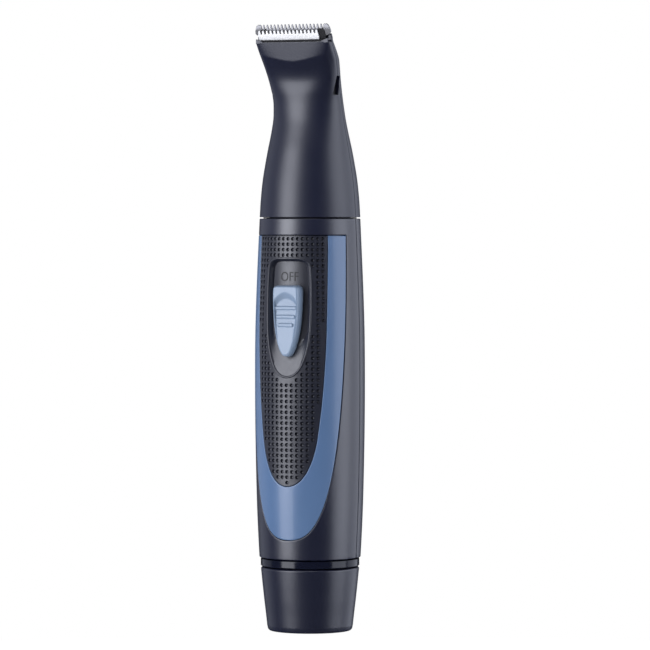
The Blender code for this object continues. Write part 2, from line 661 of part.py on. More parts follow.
def build_blades():
    teeth = toothed_edge(-9.0, 9.0, COMB_TIPS, 1.85, 1.0, 0.55)
    left_end = [(-7.9, 13.2), (-7.9, 6.0), (-8.7, 5.4), (-8.7, 3.9), (-10.1, 3.2), (-10.35, 2.0),
                (-10.1, 1.0), (-9.8, COMB_TIPS), (-9.5, COMB_TIPS), (-9.45, 1.85)]
    right_end = [(-x, down) for x, down in reversed(left_end)]
    window = [(-2.8, 9.1), (2.6, 9.1), (2.6, 10.8), (-2.8, 10.8)]
    holes = [window, circle(-4.8, 12.0, 0.8), circle(4.8, 12.0, 0.8)]
    blade_plate("fixed_comb", left_end + teeth + right_end, -0.3, 0.3, "comb_steel", holes)

    middle = CUTTER_REST_X
    edge = toothed_edge(middle - 8.0, middle + 8.0, CUTTER_TIPS, 2.95, 1.1, 0.5)
    left_side = [(middle - 3.0, 9.9), (middle - 3.0, 7.6), (middle - 6.2, 6.6), (middle - 6.2, 4.4),
                 (middle - 8.4, 4.4), (middle - 8.4, 2.95)]
    right_side = [(2 * middle - x, down) for x, down in reversed(left_side)]
    blade_plate("moving_cutter", left_side + edge + right_side, 0.55, 0.95, "cutter_steel")

    body = [(middle - 2.1, 8.9), (middle + 2.1, 8.9), (middle + 2.1, 11.2), (middle + 1.1, 11.2),
            (middle + 1.1, 9.7), (middle - 1.1, 9.7), (middle - 1.1, 11.2), (middle - 2.1, 11.2)]
    carrier = blade_plate("cutter_carrier", body, -2.0, -0.6, "black_plastic")
    nose = [(middle - 1.2, 9.35), (middle + 1.2, 9.35), (middle + 1.2, 9.7), (middle - 1.2, 9.7)]
    join(carrier, blade_plate("carrier_nose", nose, -1.0, 0.25))

    build_blade_spring()


def build_blade_spring():
    """A bent leaf held under the comb's screws, with two prongs that press on the cutter."""
    side = [(13.3, 0.6), (11.1, 0.6), (10.2, 1.25), (8.4, 1.25), (8.4, 1.45), (10.1, 1.45), (11.0, 0.8),
            (13.3, 0.8)]
    points = [blade_point(0, down, out) for down, out in side]
    spring = plate_yz("blade_spring", [(p.y, p.z) for p in points], -7.3, 7.3, "spring_steel")
    for number, (low_x, high_x) in enumerate(((-8.0, -3.5), (-2.5, 0.3), (1.3, 8.0))):
        space = [(low_x, 8.0), (high_x, 8.0), (high_x, 10.9), (low_x, 10.9)]
        cut(spring, blade_plate(f"prong_space_{number}", space, 0.4, 2.0))
    for number, x in ((1, -4.8), (2, 4.8)):
        hole = rod(f"spring_hole_{number}", blade_point(x, 12, -1), blade_point(x, 12, 2), 0.8, sides=16)
        cut(spring, hole)


def main():
    build_casing()
    build_switch()
    build_cap()
    build_battery()
    build_chassis()
    build_motor()
    build_rotor()
    build_spigot()
    build_leads()
    build_head_casing()
    build_head_frame()
    build_lever()
    build_blades()


main()
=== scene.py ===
"""The looks of a pen-shaped body groomer, laid out as an add-on and built round its loaded frame.

Lengths in the tables below are in millimetres, and each piece is scaled to metres as it is
linked. Z is up and the front of the handle faces -Y. Pieces that lie in the handle's skin are
first made flat, as (distance round, height, proud of the skin), and then wrapped round it.
"""

import bisect
import math

import bmesh
import bpy
import numpy as np
from mathutils import Matrix, Vector


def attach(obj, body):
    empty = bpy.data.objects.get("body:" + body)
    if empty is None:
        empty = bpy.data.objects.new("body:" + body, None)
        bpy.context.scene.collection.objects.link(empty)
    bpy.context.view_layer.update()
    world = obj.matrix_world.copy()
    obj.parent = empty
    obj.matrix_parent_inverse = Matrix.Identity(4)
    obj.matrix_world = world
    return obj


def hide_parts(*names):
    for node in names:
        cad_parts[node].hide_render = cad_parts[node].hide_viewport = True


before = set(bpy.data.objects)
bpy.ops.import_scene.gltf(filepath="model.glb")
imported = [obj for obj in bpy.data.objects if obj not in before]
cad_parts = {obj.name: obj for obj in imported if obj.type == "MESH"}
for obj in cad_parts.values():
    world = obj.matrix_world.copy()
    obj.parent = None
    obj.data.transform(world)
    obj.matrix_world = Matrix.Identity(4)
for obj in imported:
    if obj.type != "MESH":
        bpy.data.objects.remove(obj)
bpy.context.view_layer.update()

bl_info = {
    "name": "Body groomer",
    "version": (1, 0, 0),
    "blender": (4, 5, 0),
    "location": "3D View > Sidebar > Groomer",
    "description": "Builds a battery body groomer round its frame",
    "category": "Add Mesh",
}

MM = 0.001
FLAT_RADIUS = 14.0              # one radian round the handle is this far in the flat pattern
DEGREE = math.radians(FLAT_RADIUS)      # and one degree is this far

# ---------------------------------------------------------------- tables

HANDLE_BOTTOM, HANDLE_TOP = 18.8, 105.3
HANDLE_OUTLINE = [              # height, radius
    (HANDLE_BOTTOM, 12.95), (24.5, 13.25), (33.0, 13.6), (46.0, 13.9), (56.0, 14.03), (66.0, 14.06),
    (76.0, 13.97), (84.5, 13.74), (92.0, 13.45), (100.0, 13.1), (HANDLE_TOP, 12.87),
]
WALL = 1.6
RECESS_DEPTH = 1.0
INLAY_THICKNESS = 0.7
INLAY_TOP = 101.0
# Edges of the inlays: control points in degrees round from the front, and height
BAND_EDGE = [
    [(0, 23.9), (20, 23.9), (29, 26.3), (39, 31.9)],
    [(39, 31.9), (56, 42.3), (63, 60.4), (69.5, INLAY_TOP)],
]
PANEL_EDGE = [
    [(0, 37.6), (19, 37.6), (29.4, 44.0), (33, 50.3)],
    [(33, 50.3), (43.5, 68.0), (42.5, 81.0), (45.5, INLAY_TOP)],
]
# Right halves of closed outlines: the well in degrees and height, the button in width and height
WELL_HALF = [(0, 65.2), (11, 66.3), (19, 70.0), (24.9, 77.0), (24.9, 92.4), (21.5, 94.3), (15, 95.0),
             (0, 95.0)]
WELL_DEPTH = 1.3
BUTTON_HALF = [(0, 88.5), (2.6, 88.5), (3.5, 88.2), (3.75, 86.9), (3.7, 83.5), (3.5, 79.5), (3.0, 75.8),
               (2.2, 72.6), (1.1, 70.6), (0, 70.3)]
BUTTON_FACE = 14.9              # how far the button's face is in front of the axis
BUTTON_LIFT = 0.12              # from the well's floor up to the edge of the button's underside

# The head's sections: height, half width, centre, half depth and squareness (2 is an ellipse)
HEAD_BOTTOM = 105.65
HEAD_SECTIONS = [
    (HEAD_BOTTOM, 12.85, 0.0, 12.85, 2.0), (110.0, 12.6, 0.0, 12.6, 2.0), (115.0, 12.1, 0.0, 12.1, 2.0),
    (119.0, 11.5, 0.0, 11.3, 2.0), (122.8, 10.85, 0.0, 10.4, 2.0), (126.7, 10.15, -0.1, 9.0, 2.0),
    (130.5, 9.6, -0.3, 7.6, 2.0), (133.0, 9.4, -0.65, 6.9, 2.05), (135.6, 9.3, -1.2, 6.3, 2.1),
    (138.2, 9.3, -2.2, 5.6, 2.5), (140.7, 9.5, -3.4, 4.9, 3.0), (143.3, 9.85, -4.7, 4.4, 3.5),
    (145.8, 10.2, -6.1, 4.0, 4.0), (148.0, 10.3, -7.7, 3.0, 5.0), (150.2, 10.35, -9.25, 1.95, 6.0),
]
COVER_TOP = [(151.1, 10.33, -9.1, 1.35, 6.0), (152.0, 10.2, -9.2, 0.95, 6.0)]
HEAD_WALL = 1.0
HEAD_COLUMNS = 81               # points along each half of a section
LIP_TOP = 149.9
FACET_LOW = 145.0               # the lip's flat facet reaches down to here in the middle

COMB_TIP = Vector((0.0, -11.0, 155.0))
BLADE_LEAN = math.radians(22.6)
BLADE_UP = Vector((0.0, -math.sin(BLADE_LEAN), math.cos(BLADE_LEAN)))
BLADE_FRONT = Vector((0.0, -math.cos(BLADE_LEAN), -math.sin(BLADE_LEAN)))
CUTTER_REST_X = -1.1

# ---------------------------------------------------------------- settings


def size(name, description, default, low=0.0, high=1.0):
    """A length that a user may change, in millimetres as the tables are."""
    return bpy.props.FloatProperty(name=name, description=description, default=default, min=low, max=high)


def share(name, description, default):
    return bpy.props.FloatProperty(
        name=name, description=description, default=default, min=0.0, max=1.0, subtype="FACTOR")


def colour(name, description, default):
    return bpy.props.FloatVectorProperty(
        name=name, description=description, default=default, size=3, min=0.0, max=1.0, subtype="COLOR")


class CasingSettings(bpy.types.PropertyGroup):
    navy: colour("Navy", "Colour of the casing's plastic", (0.0028, 0.0046, 0.0185))
    navy_roughness: share("Navy roughness", "How dull the casing is", 0.36)
    ring: colour("Ring", "Colour of the glossy ring", (0.004, 0.005, 0.012))
    groove: size("Groove", "Space between the casing's halves, in mm", 0.22)
    rounding: size("Rounding", "Radius of the casing's edges, in mm", 0.2)


class TrimSettings(bpy.types.PropertyGroup):
    blue: colour("Blue", "Colour of the trim band", (0.064, 0.118, 0.222))
    gap: size("Gap", "Space round the inlays, in mm", 0.12)
    rounding: size("Rounding", "Radius of the band's edges, in mm", 0.2)


class GripSettings(bpy.types.PropertyGroup):
    rubber: colour("Rubber", "Colour of the grip panel", (0.0060, 0.0075, 0.0165))
    legend: colour("Legend", "Colour of the word for off", (0.002, 0.002, 0.003))
    pitch: size("Pitch", "Distance between the dimples, in mm", 1.37, 0.5, 4.0)
    pit_radius: size("Dimple radius", "Radius of a dimple, in mm", 0.5)
    pit_depth: size("Dimple depth", "Depth of a dimple, in mm", 0.5)
    margin: size("Margin", "Plain edge round the dimples, in mm", 0.35, 0.0, 3.0)


class ButtonSettings(bpy.types.PropertyGroup):
    blue: colour("Blue", "Colour of the switch button", (0.165, 0.222, 0.305))
    scoop: size("Scoop", "Depth of the thumb scoop, in mm", 0.8)
    rib: size("Rib", "Height of the ribs, in mm", 0.3)


class BladeSettings(bpy.types.PropertyGroup):
    comb: colour("Comb", "Colour of the comb's steel", (0.20, 0.20, 0.21))
    cutter: colour("Cutter", "Colour of the cutter's steel", (0.93, 0.93, 0.93))
    comb_pitch: size("Comb pitch", "Distance between the comb's teeth, in mm", 1.0, 0.4, 3.0)
    cutter_pitch: size("Cutter pitch", "Distance between the cutter's teeth, in mm", 1.1, 0.4, 3.0)


class StudioSettings(bpy.types.PropertyGroup):
    azimuth: bpy.props.FloatProperty(
        name="Azimuth", description="How far round from the front the camera stands",
        default=math.radians(25.0), subtype="ANGLE")
    distance: bpy.props.FloatProperty(
        name="Distance", description="From the groomer's axis to the camera",
        default=1.02, unit="LENGTH", min=0.3, max=5.0)
    height: bpy.props.FloatProperty(
        name="Height", description="Height of the camera", default=0.1065, unit="LENGTH")
    lens: bpy.props.FloatProperty(name="Lens", description="Focal length in mm", default=221.0, min=20.0)
    floor: colour("Floor", "Colour of the floor", (0.90, 0.90, 0.90))
    power: bpy.props.FloatProperty(
        name="Power", description="Strength of all the lights", default=1.0, min=0.0)


SETTINGS = {
    "groomer_casing": CasingSettings, "groomer_trim": TrimSettings, "groomer_grip": GripSettings,
    "groomer_button": ButtonSettings, "groomer_blade": BladeSettings, "groomer_studio": StudioSettings,
}

# ---------------------------------------------------------------- materials


class Number:
    """A number that varies over a surface; Python's operators add Math nodes to its tree."""

    def __init__(self, tree, socket):
        self.tree = tree
        self.socket = socket

    def maths(self, operation, *values):
        node = self.tree.nodes.new("ShaderNodeMath")
        node.operation = operation
        for slot, value in zip(node.inputs, values):
            if isinstance(value, Number):
                self.tree.links.new(value.socket, slot)
            else:
                slot.default_value = value
        return Number(self.tree, node.outputs[0])

    def __add__(self, other):
        return self.maths("ADD", self, other)

    def __sub__(self, other):
        return self.maths("SUBTRACT", self, other)

    def __mul__(self, other):
        return self.maths("MULTIPLY", self, other)

    def __rsub__(self, other):
        return self.maths("SUBTRACT", other, self)

    def __gt__(self, other):
        return self.maths("GREATER_THAN", self, other)

    def __lt__(self, other):
        return self.maths("LESS_THAN", self, other)

    __radd__ = __add__
    __rmul__ = __mul__


class Finish:
    """A material put together round its Principled shader, in the piece's own coordinates."""

    def __init__(self, name, base, roughness, metallic=0.0, coat=0.0, specular=0.5):
        self.material = bpy.data.materials.new(name)
        self.material.use_nodes = True
        self.tree = self.material.node_tree
        self.shader = self.tree.nodes["Principled BSDF"]
        self.base = (*base, 1.0)
        self.shader.inputs["Base Color"].default_value = self.base
        self.shader.inputs["Roughness"].default_value = roughness
        self.shader.inputs["Metallic"].default_value = metallic
        self.shader.inputs["Coat Weight"].default_value = coat
        self.shader.inputs["Specular IOR Level"].default_value = specular
        self.place = self.node("ShaderNodeTexCoord").outputs["Object"]

    def node(self, kind, settings=None, values=None):
        """Any node: its settings first, then a value or a link for each named socket."""
        node = self.tree.nodes.new(kind)
        for key, setting in (settings or {}).items():
            setattr(node, key, setting)
        for key, value in (values or {}).items():
            if isinstance(value, Number):
                value = value.socket
            if isinstance(value, bpy.types.NodeSocket):
                self.tree.links.new(value, node.inputs[key])
            else:
                node.inputs[key].default_value = value
        return node

    def stretched(self, stretch):
        """The piece's coordinates, stretched along its axes."""
        return self.node("ShaderNodeVectorMath", {"operation": "MULTIPLY"},
                         {0: self.place, 1: stretch}).outputs[0]

    def noise(self, scale, detail=2.0, stretch=None):
        vector = self.stretched(stretch) if stretch else self.place
        made = self.node("ShaderNodeTexNoise", values={"Vector": vector, "Scale": scale, "Detail": detail})
        return Number(self.tree, made.outputs["Fac"])

    def along(self, axis):
        """One coordinate of the piece, in metres."""
        made = self.node("ShaderNodeSeparateXYZ", values={0: self.place})
        return Number(self.tree, made.outputs[axis])

    def between(self, factor, first, second):
        """One colour turning into another as the factor goes from 0 to 1."""
        made = self.node("ShaderNodeMix", {"data_type": "RGBA"}, {"Factor": factor, 6: first, 7: second})
        return made.outputs[2]

    def paint(self, socket):
        self.tree.links.new(socket, self.shader.inputs["Base Color"])

    def shift_colour(self, factor, darker, lighter):
        """Lets the base colour run between two shares of itself."""
        low, high = ([c * part for c in self.base[:3]] + [1.0] for part in (darker, lighter))
        self.paint(self.between(factor, low, high))

    def dull(self, number):
        self.tree.links.new(number.socket, self.shader.inputs["Roughness"])

    def bump(self, number, depth):
        """Relief from a number, its depth in metres."""
        made = self.node("ShaderNodeBump", values={"Height": number, "Distance": depth, "Strength": 1.0})
        self.tree.links.new(made.outputs["Normal"], self.shader.inputs["Normal"])


def moulded(name, base, roughness, grain=5200.0, relief=0.000006, coat=0.0, specular=0.5):
    """Satin moulded plastic: a fine spark-eroded grain, with slightly worn and handled areas."""
    finish = Finish(name, base, roughness, coat=coat, specular=specular)
    patches = finish.noise(55.0, 3.0)
    speck = finish.noise(grain)
    finish.shift_colour(patches * 0.6 + speck * 0.4, 0.90, 1.10)
    finish.dull(patches * 0.08 + speck * 0.05 + (roughness - 0.065))
    finish.bump(speck, relief)
    return finish.material


def rubbery(name, base, roughness, specular=0.5):
    """Soft rubber: a coarser skin with a little dust in it."""
    finish = Finish(name, base, roughness, specular=specular)
    dust = finish.noise(900.0, 4.0)
    skin = finish.noise(3600.0, 3.0)
    finish.shift_colour(dust, 0.82, 1.22)
    finish.dull(dust * 0.12 + (roughness - 0.06))
    finish.bump(skin, 0.000012)
    return finish.material


def polished(name, base, roughness, specular):
    """Glossy plastic with faint wiping marks."""
    finish = Finish(name, base, roughness, specular=specular)
    marks = finish.noise(260.0, 4.0, (1.0, 1.0, 6.0))
    finish.shift_colour(marks, 0.9, 1.1)
    finish.dull(marks * 0.10 + roughness)
    return finish.material


def brushed(name, base, roughness, stretch=(0.03, 1.0, 1.0), relief=0.000002, metallic=1.0):
    """Ground or drawn steel, its lines running along the axis with the smallest stretch."""
    finish = Finish(name, base, roughness, metallic=metallic)
    lines = finish.noise(9000.0, 3.0, stretch)
    stains = finish.noise(320.0, 3.0)
    finish.shift_colour(lines * 0.5 + stains * 0.5, 0.85, 1.12)
    finish.dull(lines * 0.12 + stains * 0.08 + (roughness - 0.1))
    finish.bump(lines, relief)
    return finish.material


def cell_wrap():
    """The cell's printed sleeve: dark, with a copper-coloured end and a thin pale ring between."""
    finish = Finish("cell_wrap", (0.02, 0.025, 0.03), 0.28, coat=0.5)
    sleeve_low, ring_low, ring_high, sleeve_high = 0.0108, 0.0463, 0.047, 0.05935
    height = finish.along("Z")
    end = height > ring_high
    ring = (height > ring_low) - end
    speck = finish.noise(1500.0, 3.0)
    body = finish.between(speck, (0.018, 0.022, 0.028, 1.0), (0.030, 0.036, 0.044, 1.0))
    tipped = finish.between(end, body, (0.42, 0.19, 0.07, 1.0))
    sleeve = finish.between(ring, tipped, (0.62, 0.62, 0.60, 1.0))
    metal = (height > sleeve_high) + (height < sleeve_low)
    finish.paint(finish.between(metal, sleeve, (0.70, 0.69, 0.66, 1.0)))
    finish.dull(0.30 - metal * 0.04 + speck * 0.04)
    finish.tree.links.new(metal.socket, finish.shader.inputs["Metallic"])
    return finish.material


FINISHES = {}


def make_finishes():
    casing, grip = bpy.context.scene.groomer_casing, bpy.context.scene.groomer_grip
    blade = bpy.context.scene.groomer_blade
    trim, button = bpy.context.scene.groomer_trim, bpy.context.scene.groomer_button
    FINISHES.update({
        "navy_plastic": moulded("navy_plastic", casing.navy, casing.navy_roughness, specular=0.9),
        "navy_head": moulded("navy_head", casing.navy, casing.navy_roughness + 0.05, specular=0.68),
        "black_gloss": polished("black_gloss", casing.ring, 0.10, 0.28),
        "blue_satin": moulded("blue_satin", trim.blue, 0.33, coat=0.1, specular=0.55),
        "grip_rubber": rubbery("grip_rubber", grip.rubber, 0.42, specular=0.85),
        "legend": moulded("legend", grip.legend, 0.5),
        "blue_button": moulded("blue_button", button.blue, 0.34, relief=0.000004, coat=0.1),
        "comb_steel": brushed("comb_steel", blade.comb, 0.36, metallic=0.5),
        "cutter_steel": brushed("cutter_steel", blade.cutter, 0.3, relief=0.000001, metallic=0.3),
        "black_plastic": moulded("black_plastic", (0.008, 0.008, 0.010), 0.48),
        "white_plastic": moulded("white_plastic", (0.62, 0.62, 0.58), 0.45),
        "spring_steel": brushed("spring_steel", (0.55, 0.55, 0.56), 0.28, (1.0, 1.0, 0.05)),
        "nickel_contact": brushed("nickel_contact", (0.64, 0.60, 0.52), 0.30, (1.0, 1.0, 0.05)),
        "motor_steel": brushed("motor_steel", (0.46, 0.46, 0.48), 0.36, (1.0, 1.0, 0.04)),
        "seal_rubber": rubbery("seal_rubber", (0.012, 0.012, 0.013), 0.62),
        "battery_wrap": cell_wrap(),
        "red_lead": moulded("red_lead", (0.42, 0.02, 0.015), 0.42, 2600.0),
        "black_lead": moulded("black_lead", (0.015, 0.015, 0.016), 0.42, 2600.0),
    })


# ---------------------------------------------------------------- shapes


def table_at(table, height):
    """A row of a table read at a height, eased smoothly between its own rows."""
    index = bisect.bisect_right([row[0] for row in table], height) - 1
    index = min(max(index, 0), len(table) - 2)
    before, low, high, after = (
        np.array(table[min(max(row, 0), len(table) - 1)]) for row in range(index - 1, index + 3))
    span = high[0] - low[0]
    part = (height - low[0]) / span
    leave = (high - before) * span / (high[0] - before[0])
    arrive = (after - low) * span / (after[0] - low[0])
    return ((2 * part ** 3 - 3 * part ** 2 + 1) * low + (part ** 3 - 2 * part ** 2 + part) * leave
            + (3 * part ** 2 - 2 * part ** 3) * high + (part ** 3 - part ** 2) * arrive)


FINE_HEIGHTS = np.linspace(HANDLE_BOTTOM, HANDLE_TOP, 400)
FINE_RADII = np.array([table_at(HANDLE_OUTLINE, height)[1] for height in FINE_HEIGHTS])


def handle_radius(height):
    return np.interp(height, FINE_HEIGHTS, FINE_RADII)


def smooth(low, high, value):
    """0 below one value, 1 above the other, and an even S between."""
    part = np.clip((value - low) / (high - low), 0.0, 1.0)
    return part * part * (3 - 2 * part)


def bezier(segments):
    """Points along cubic curves that follow on from each other."""
    path = []
    for p0, p1, p2, p3 in (map(Vector, segment) for segment in segments):
        for t in np.arange(16) / 16:
            path.append((1 - t) ** 3 * p0 + 3 * (1 - t) ** 2 * t * p1
                        + 3 * (1 - t) * t * t * p2 + t ** 3 * p3)
    return path + [Vector(segments[-1][-1])]


def smooth_path(points, steps):
    """A smooth path through a few points."""
    knots = [Vector(point) for point in (points[0], *points, points[-1])]
    path = []
    for a, b, c, d in zip(knots, knots[1:], knots[2:], knots[3:]):
        for t in np.arange(steps) / steps:
            path.append(0.5 * (2 * b + (c - a) * t + (2 * a - 5 * b + 4 * c - d) * t ** 2
                               + (3 * b - a - 3 * c + d) * t ** 3))
    return path + [Vector(points[-1])]


def mirrored(half):
    """A closed outline from its right half, which starts and ends in the middle."""
    return [tuple(point) for point in half] + [(-x, z) for x, z in reversed(half[1:-1])]


def flattened(edge):
    """An edge given in degrees and heights, in the flat pattern."""
    return [(angle * DEGREE, height) for angle, height in edge]


def rounded_loop(outline, count):
    """A closed outline with its corners cut smooth, as evenly spaced points from its first one on."""
    loop = np.array(outline, float)
    for _ in range(2):
        after = np.roll(loop, -1, axis=0)
        loop = np.stack((0.75 * loop + 0.25 * after, 0.25 * loop + 0.75 * after), axis=1).reshape(-1, 2)
    loop = np.vstack((loop, loop[:1]))
    length = np.concatenate(([0.0], np.cumsum(np.linalg.norm(np.diff(loop, axis=0), axis=1))))
    wanted = np.linspace(0.0, length[-1], count, endpoint=False)
    return np.stack([np.interp(wanted, length, loop[:, axis]) for axis in (0, 1)], axis=1)


def grown(loop, by):
    """A closed loop moved outwards along its own normals."""
    way = np.roll(loop, -1, axis=0) - np.roll(loop, 1, axis=0)
    normal = np.stack((way[:, 1], -way[:, 0]), axis=1)
    normal /= np.linalg.norm(normal, axis=1, keepdims=True)
    turned_left = np.sum(loop[:, 0] * np.roll(loop[:, 1], -1) - loop[:, 1] * np.roll(loop[:, 0], -1)) > 0
    return loop + normal * (by if turned_left else -by)


def inside(outline, x, z):
    """Whether a point lies inside a closed outline."""
    hits = False
    for (x0, z0), (x1, z1) in zip(outline, [*outline[1:], outline[0]]):
        if (z0 > z) != (z1 > z) and x < x0 + (z - z0) * (x1 - x0) / (z1 - z0):
            hits = not hits
    return hits


def evaluated(drawn):
    """The mesh that an object comes to with its modifiers; the object itself is taken away."""
    bpy.context.scene.collection.objects.link(drawn)
    depsgraph = bpy.context.evaluated_depsgraph_get()
    mesh = bpy.data.meshes.new_from_object(drawn.evaluated_get(depsgraph))
    bpy.data.objects.remove(drawn)
    return mesh


def tidied(bm, weld=0.0005):
    """A mesh from a bmesh, its double points welded and its faces turned outwards."""
    bmesh.ops.remove_doubles(bm, verts=bm.verts, dist=weld)
    bmesh.ops.recalc_face_normals(bm, faces=bm.faces)
    mesh = bpy.data.meshes.new("piece")
    bm.to_mesh(mesh)
    bm.free()
    return mesh


def slab(outline, low, high, rounding=0.0, holes=()):
    """A closed slab on an outline, between two heights, its rims rounded."""
    curve = bpy.data.curves.new("slab", "CURVE")
    curve.dimensions = "2D"
    curve.fill_mode = "BOTH"
    curve.extrude = (high - low) / 2 - rounding
    curve.bevel_depth = rounding
    curve.bevel_resolution = 2
    curve.offset = -rounding
    for loop in (outline, *holes):
        spline = curve.splines.new("POLY")
        spline.points.add(len(loop) - 1)
        for point, place in zip(spline.points, loop):
            point.co = (place[0], place[1], 0.0, 1.0)
        spline.use_cyclic_u = True
    bm = bmesh.new()
    bm.from_mesh(evaluated(bpy.data.objects.new("slab", curve)))
    bmesh.ops.translate(bm, vec=(0, 0, (low + high) / 2), verts=bm.verts)
    return tidied(bm)


def combined(mesh, operation, *others):
    """What a Boolean leaves of a mesh and others."""
    target = bpy.data.objects.new("target", mesh)
    helpers = [bpy.data.objects.new("helper", other) for other in others]
    for helper in helpers:
        bpy.context.scene.collection.objects.link(helper)
        change = target.modifiers.new("change", "BOOLEAN")
        change.operation = operation
        change.object = helper
    result = evaluated(target)
    for helper in helpers:
        bpy.data.objects.remove(helper)
    return result


def merged(*meshes):
    """Several meshes as one."""
    bm = bmesh.new()
    for mesh in meshes:
        bm.from_mesh(mesh)
    return tidied(bm)


def wrapped(mesh, facing=0.0, across=0.0, along=3.0):
    """A flat pattern sliced finely and wrapped round the handle, centred on a direction in degrees."""
    bm = bmesh.new()
    bm.from_mesh(mesh)
    if across:
        reach = math.radians(90) * FLAT_RADIUS
        planes = [((x, 0, 0), (1, 0, 0)) for x in np.arange(-reach + across / 2, reach, across)]
        planes += [((0, z, 0), (0, 1, 0)) for z in np.arange(HANDLE_BOTTOM + along / 2, HANDLE_TOP, along)]
        for place, normal in planes:
            everything = bm.verts[:] + bm.edges[:] + bm.faces[:]
            bmesh.ops.bisect_plane(bm, geom=everything, plane_co=place, plane_no=normal, dist=0.0005)
        bmesh.ops.triangulate(bm, faces=[face for face in bm.faces if len(face.verts) > 4])
    for vert in bm.verts:
        angle = vert.co.x / FLAT_RADIUS + math.radians(facing)
        radius = handle_radius(vert.co.y) + vert.co.z
        vert.co = (radius * math.sin(angle), -radius * math.cos(angle), vert.co.y)
    return tidied(bm)


def skinned(loops):
    """Faces between a row of closed loops, each with the same number of points."""
    bm = bmesh.new()
    rows = [[bm.verts.new(point) for point in loop] for loop in loops]
    count = len(rows[0])
    for low, high in zip(rows, rows[1:]):
        for i in range(count):
            bm.faces.new((low[i], low[(i + 1) % count], high[(i + 1) % count], high[i]))
    return bm


def turned(profile, count=128, joined=True):
    """A profile of (radius, height) points turned about Z."""
    turns = np.linspace(0, 2 * math.pi, count, endpoint=False)
    points = [*profile, profile[0]] if joined else profile
    return tidied(skinned([[(r * math.cos(t), r * math.sin(t), z) for t in turns] for r, z in points]))


def eased_profile(profile, radius, steps=4):
    """A closed profile with each of its corners rounded by up to a radius."""
    eased = []
    for before, here, after in zip([profile[-1], *profile], profile, [*profile[1:], profile[0]]):
        before, here, after = (Vector(point) for point in (before, here, after))
        to_before, to_after = before - here, after - here
        reach = min(radius, to_before.length * 0.45, to_after.length * 0.45)
        start, end = here + to_before.normalized() * reach, here + to_after.normalized() * reach
        for t in np.arange(steps + 1) / steps:
            eased.append((1 - t) ** 2 * start + 2 * (1 - t) * t * here + t * t * end)
    return eased


def o_ring(height, radius, thickness):
    turns = np.linspace(0, 2 * math.pi, 16, endpoint=False)
    return turned([(radius + thickness * math.cos(t), height + thickness * math.sin(t)) for t in turns], 96)


def wire(points, radius):
    """A round wire along a path, with closed ends."""
    curve = bpy.data.curves.new("wire", "CURVE")
    curve.dimensions = "3D"
    curve.bevel_depth = radius
    curve.bevel_resolution = 4
    curve.use_fill_caps = True
    spline = curve.splines.new("POLY")
    spline.points.add(len(points) - 1)
    for knot, point in zip(spline.points, points):
        knot.co = (*point, 1.0)
    bm = bmesh.new()
    bm.from_mesh(evaluated(bpy.data.objects.new("wire", curve)))
    return tidied(bm)


def block(low, high, rounding):
    """A box between two corners, its edges rounded."""
    low, high = Vector(low), Vector(high)
    bm = bmesh.new()
    bmesh.ops.create_cube(bm, size=1.0)
    place = Matrix.Translation((low + high) / 2) @ Matrix.Diagonal((*(high - low), 1.0))
    bmesh.ops.transform(bm, matrix=place, verts=bm.verts)
    if rounding:
        bmesh.ops.bevel(bm, geom=bm.edges[:], offset=rounding, segments=2, profile=0.5, affect="EDGES")
    return tidied(bm)


def leaned(mesh):
    """A slab of (x, down from the tips, out to the front) set into the blades' plane."""
    axes = Matrix.Identity(4)
    axes.col[1] = (*(-BLADE_UP), 0.0)
    axes.col[2] = (*BLADE_FRONT, 0.0)
    axes.col[3] = (*COMB_TIP, 1.0)
    mesh.transform(axes)
    bm = bmesh.new()
    bm.from_mesh(mesh)
    return tidied(bm)


def link(name, mesh, body, finish, replaces=(), weighted=True, sharp=35.0):
    """Links a mesh made in millimetres as a finished piece that rides on a body."""
    mesh.transform(Matrix.Scale(MM, 4))
    mesh.shade_smooth()
    mesh.set_sharp_from_angle(angle=math.radians(sharp))
    mesh.materials.clear()
    mesh.materials.append(FINISHES[finish])
    mesh.name = name
    made = bpy.data.objects.new(name, mesh)
    if weighted:
        normals = made.modifiers.new("normals", "WEIGHTED_NORMAL")
        normals.keep_sharp = True
    bpy.context.scene.collection.objects.link(made)
    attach(made, body)
    if replaces:
        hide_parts(*replaces)


# ---------------------------------------------------------------- handle


def band_outline(edge, by=0.0):
    """The whole outline of an inlay in the flat pattern, grown by a distance."""
    outline = mirrored([*flattened(bezier(edge)), (0.0, INLAY_TOP)])
    loop = np.array(outline, float)
    if not by:
        return loop
    moved = grown(loop, by)
    top = loop[:, 1] > INLAY_TOP - 0.001
    moved[top, 1] = INLAY_TOP + by
    corners = top & (np.abs(loop[:, 0]) > 1.0)
    moved[corners, 0] = loop[corners, 0] + np.sign(loop[corners, 0]) * by
    return moved


def shell_outline(groove):
    """Half of the casing in the flat pattern, short of the other half by the groove."""
    reach = math.radians(90) * FLAT_RADIUS - groove / 2
    return [(-reach, HANDLE_BOTTOM), (reach, HANDLE_BOTTOM), (reach, HANDLE_TOP), (-reach, HANDLE_TOP)]


def well_loop(by, count=160):
    """The well's outline in the flat pattern, grown by a distance."""
    return grown(rounded_loop(mirrored(flattened(WELL_HALF)), count), by)


def front_shell(casing, trim):
    outline = shell_outline(casing.groove)
    skin = slab(outline, -RECESS_DEPTH - 0.3, 0.0, casing.rounding, [band_outline(BAND_EDGE, trim.gap)])
    window = [(x, z) for x, z in well_loop(1.1, 60)]
    floor = slab(outline, -WALL, -RECESS_DEPTH, 0.0, [window])
    # A little smaller than the skin, so that no two of their faces lie in one plane
    centre = Matrix.Translation((0, 62, 0))
    floor.transform(centre @ Matrix.Diagonal((0.999, 0.9995, 1, 1)) @ centre.inverted())
    return wrapped(combined(skin, "UNION", floor), across=2.5 * DEGREE)


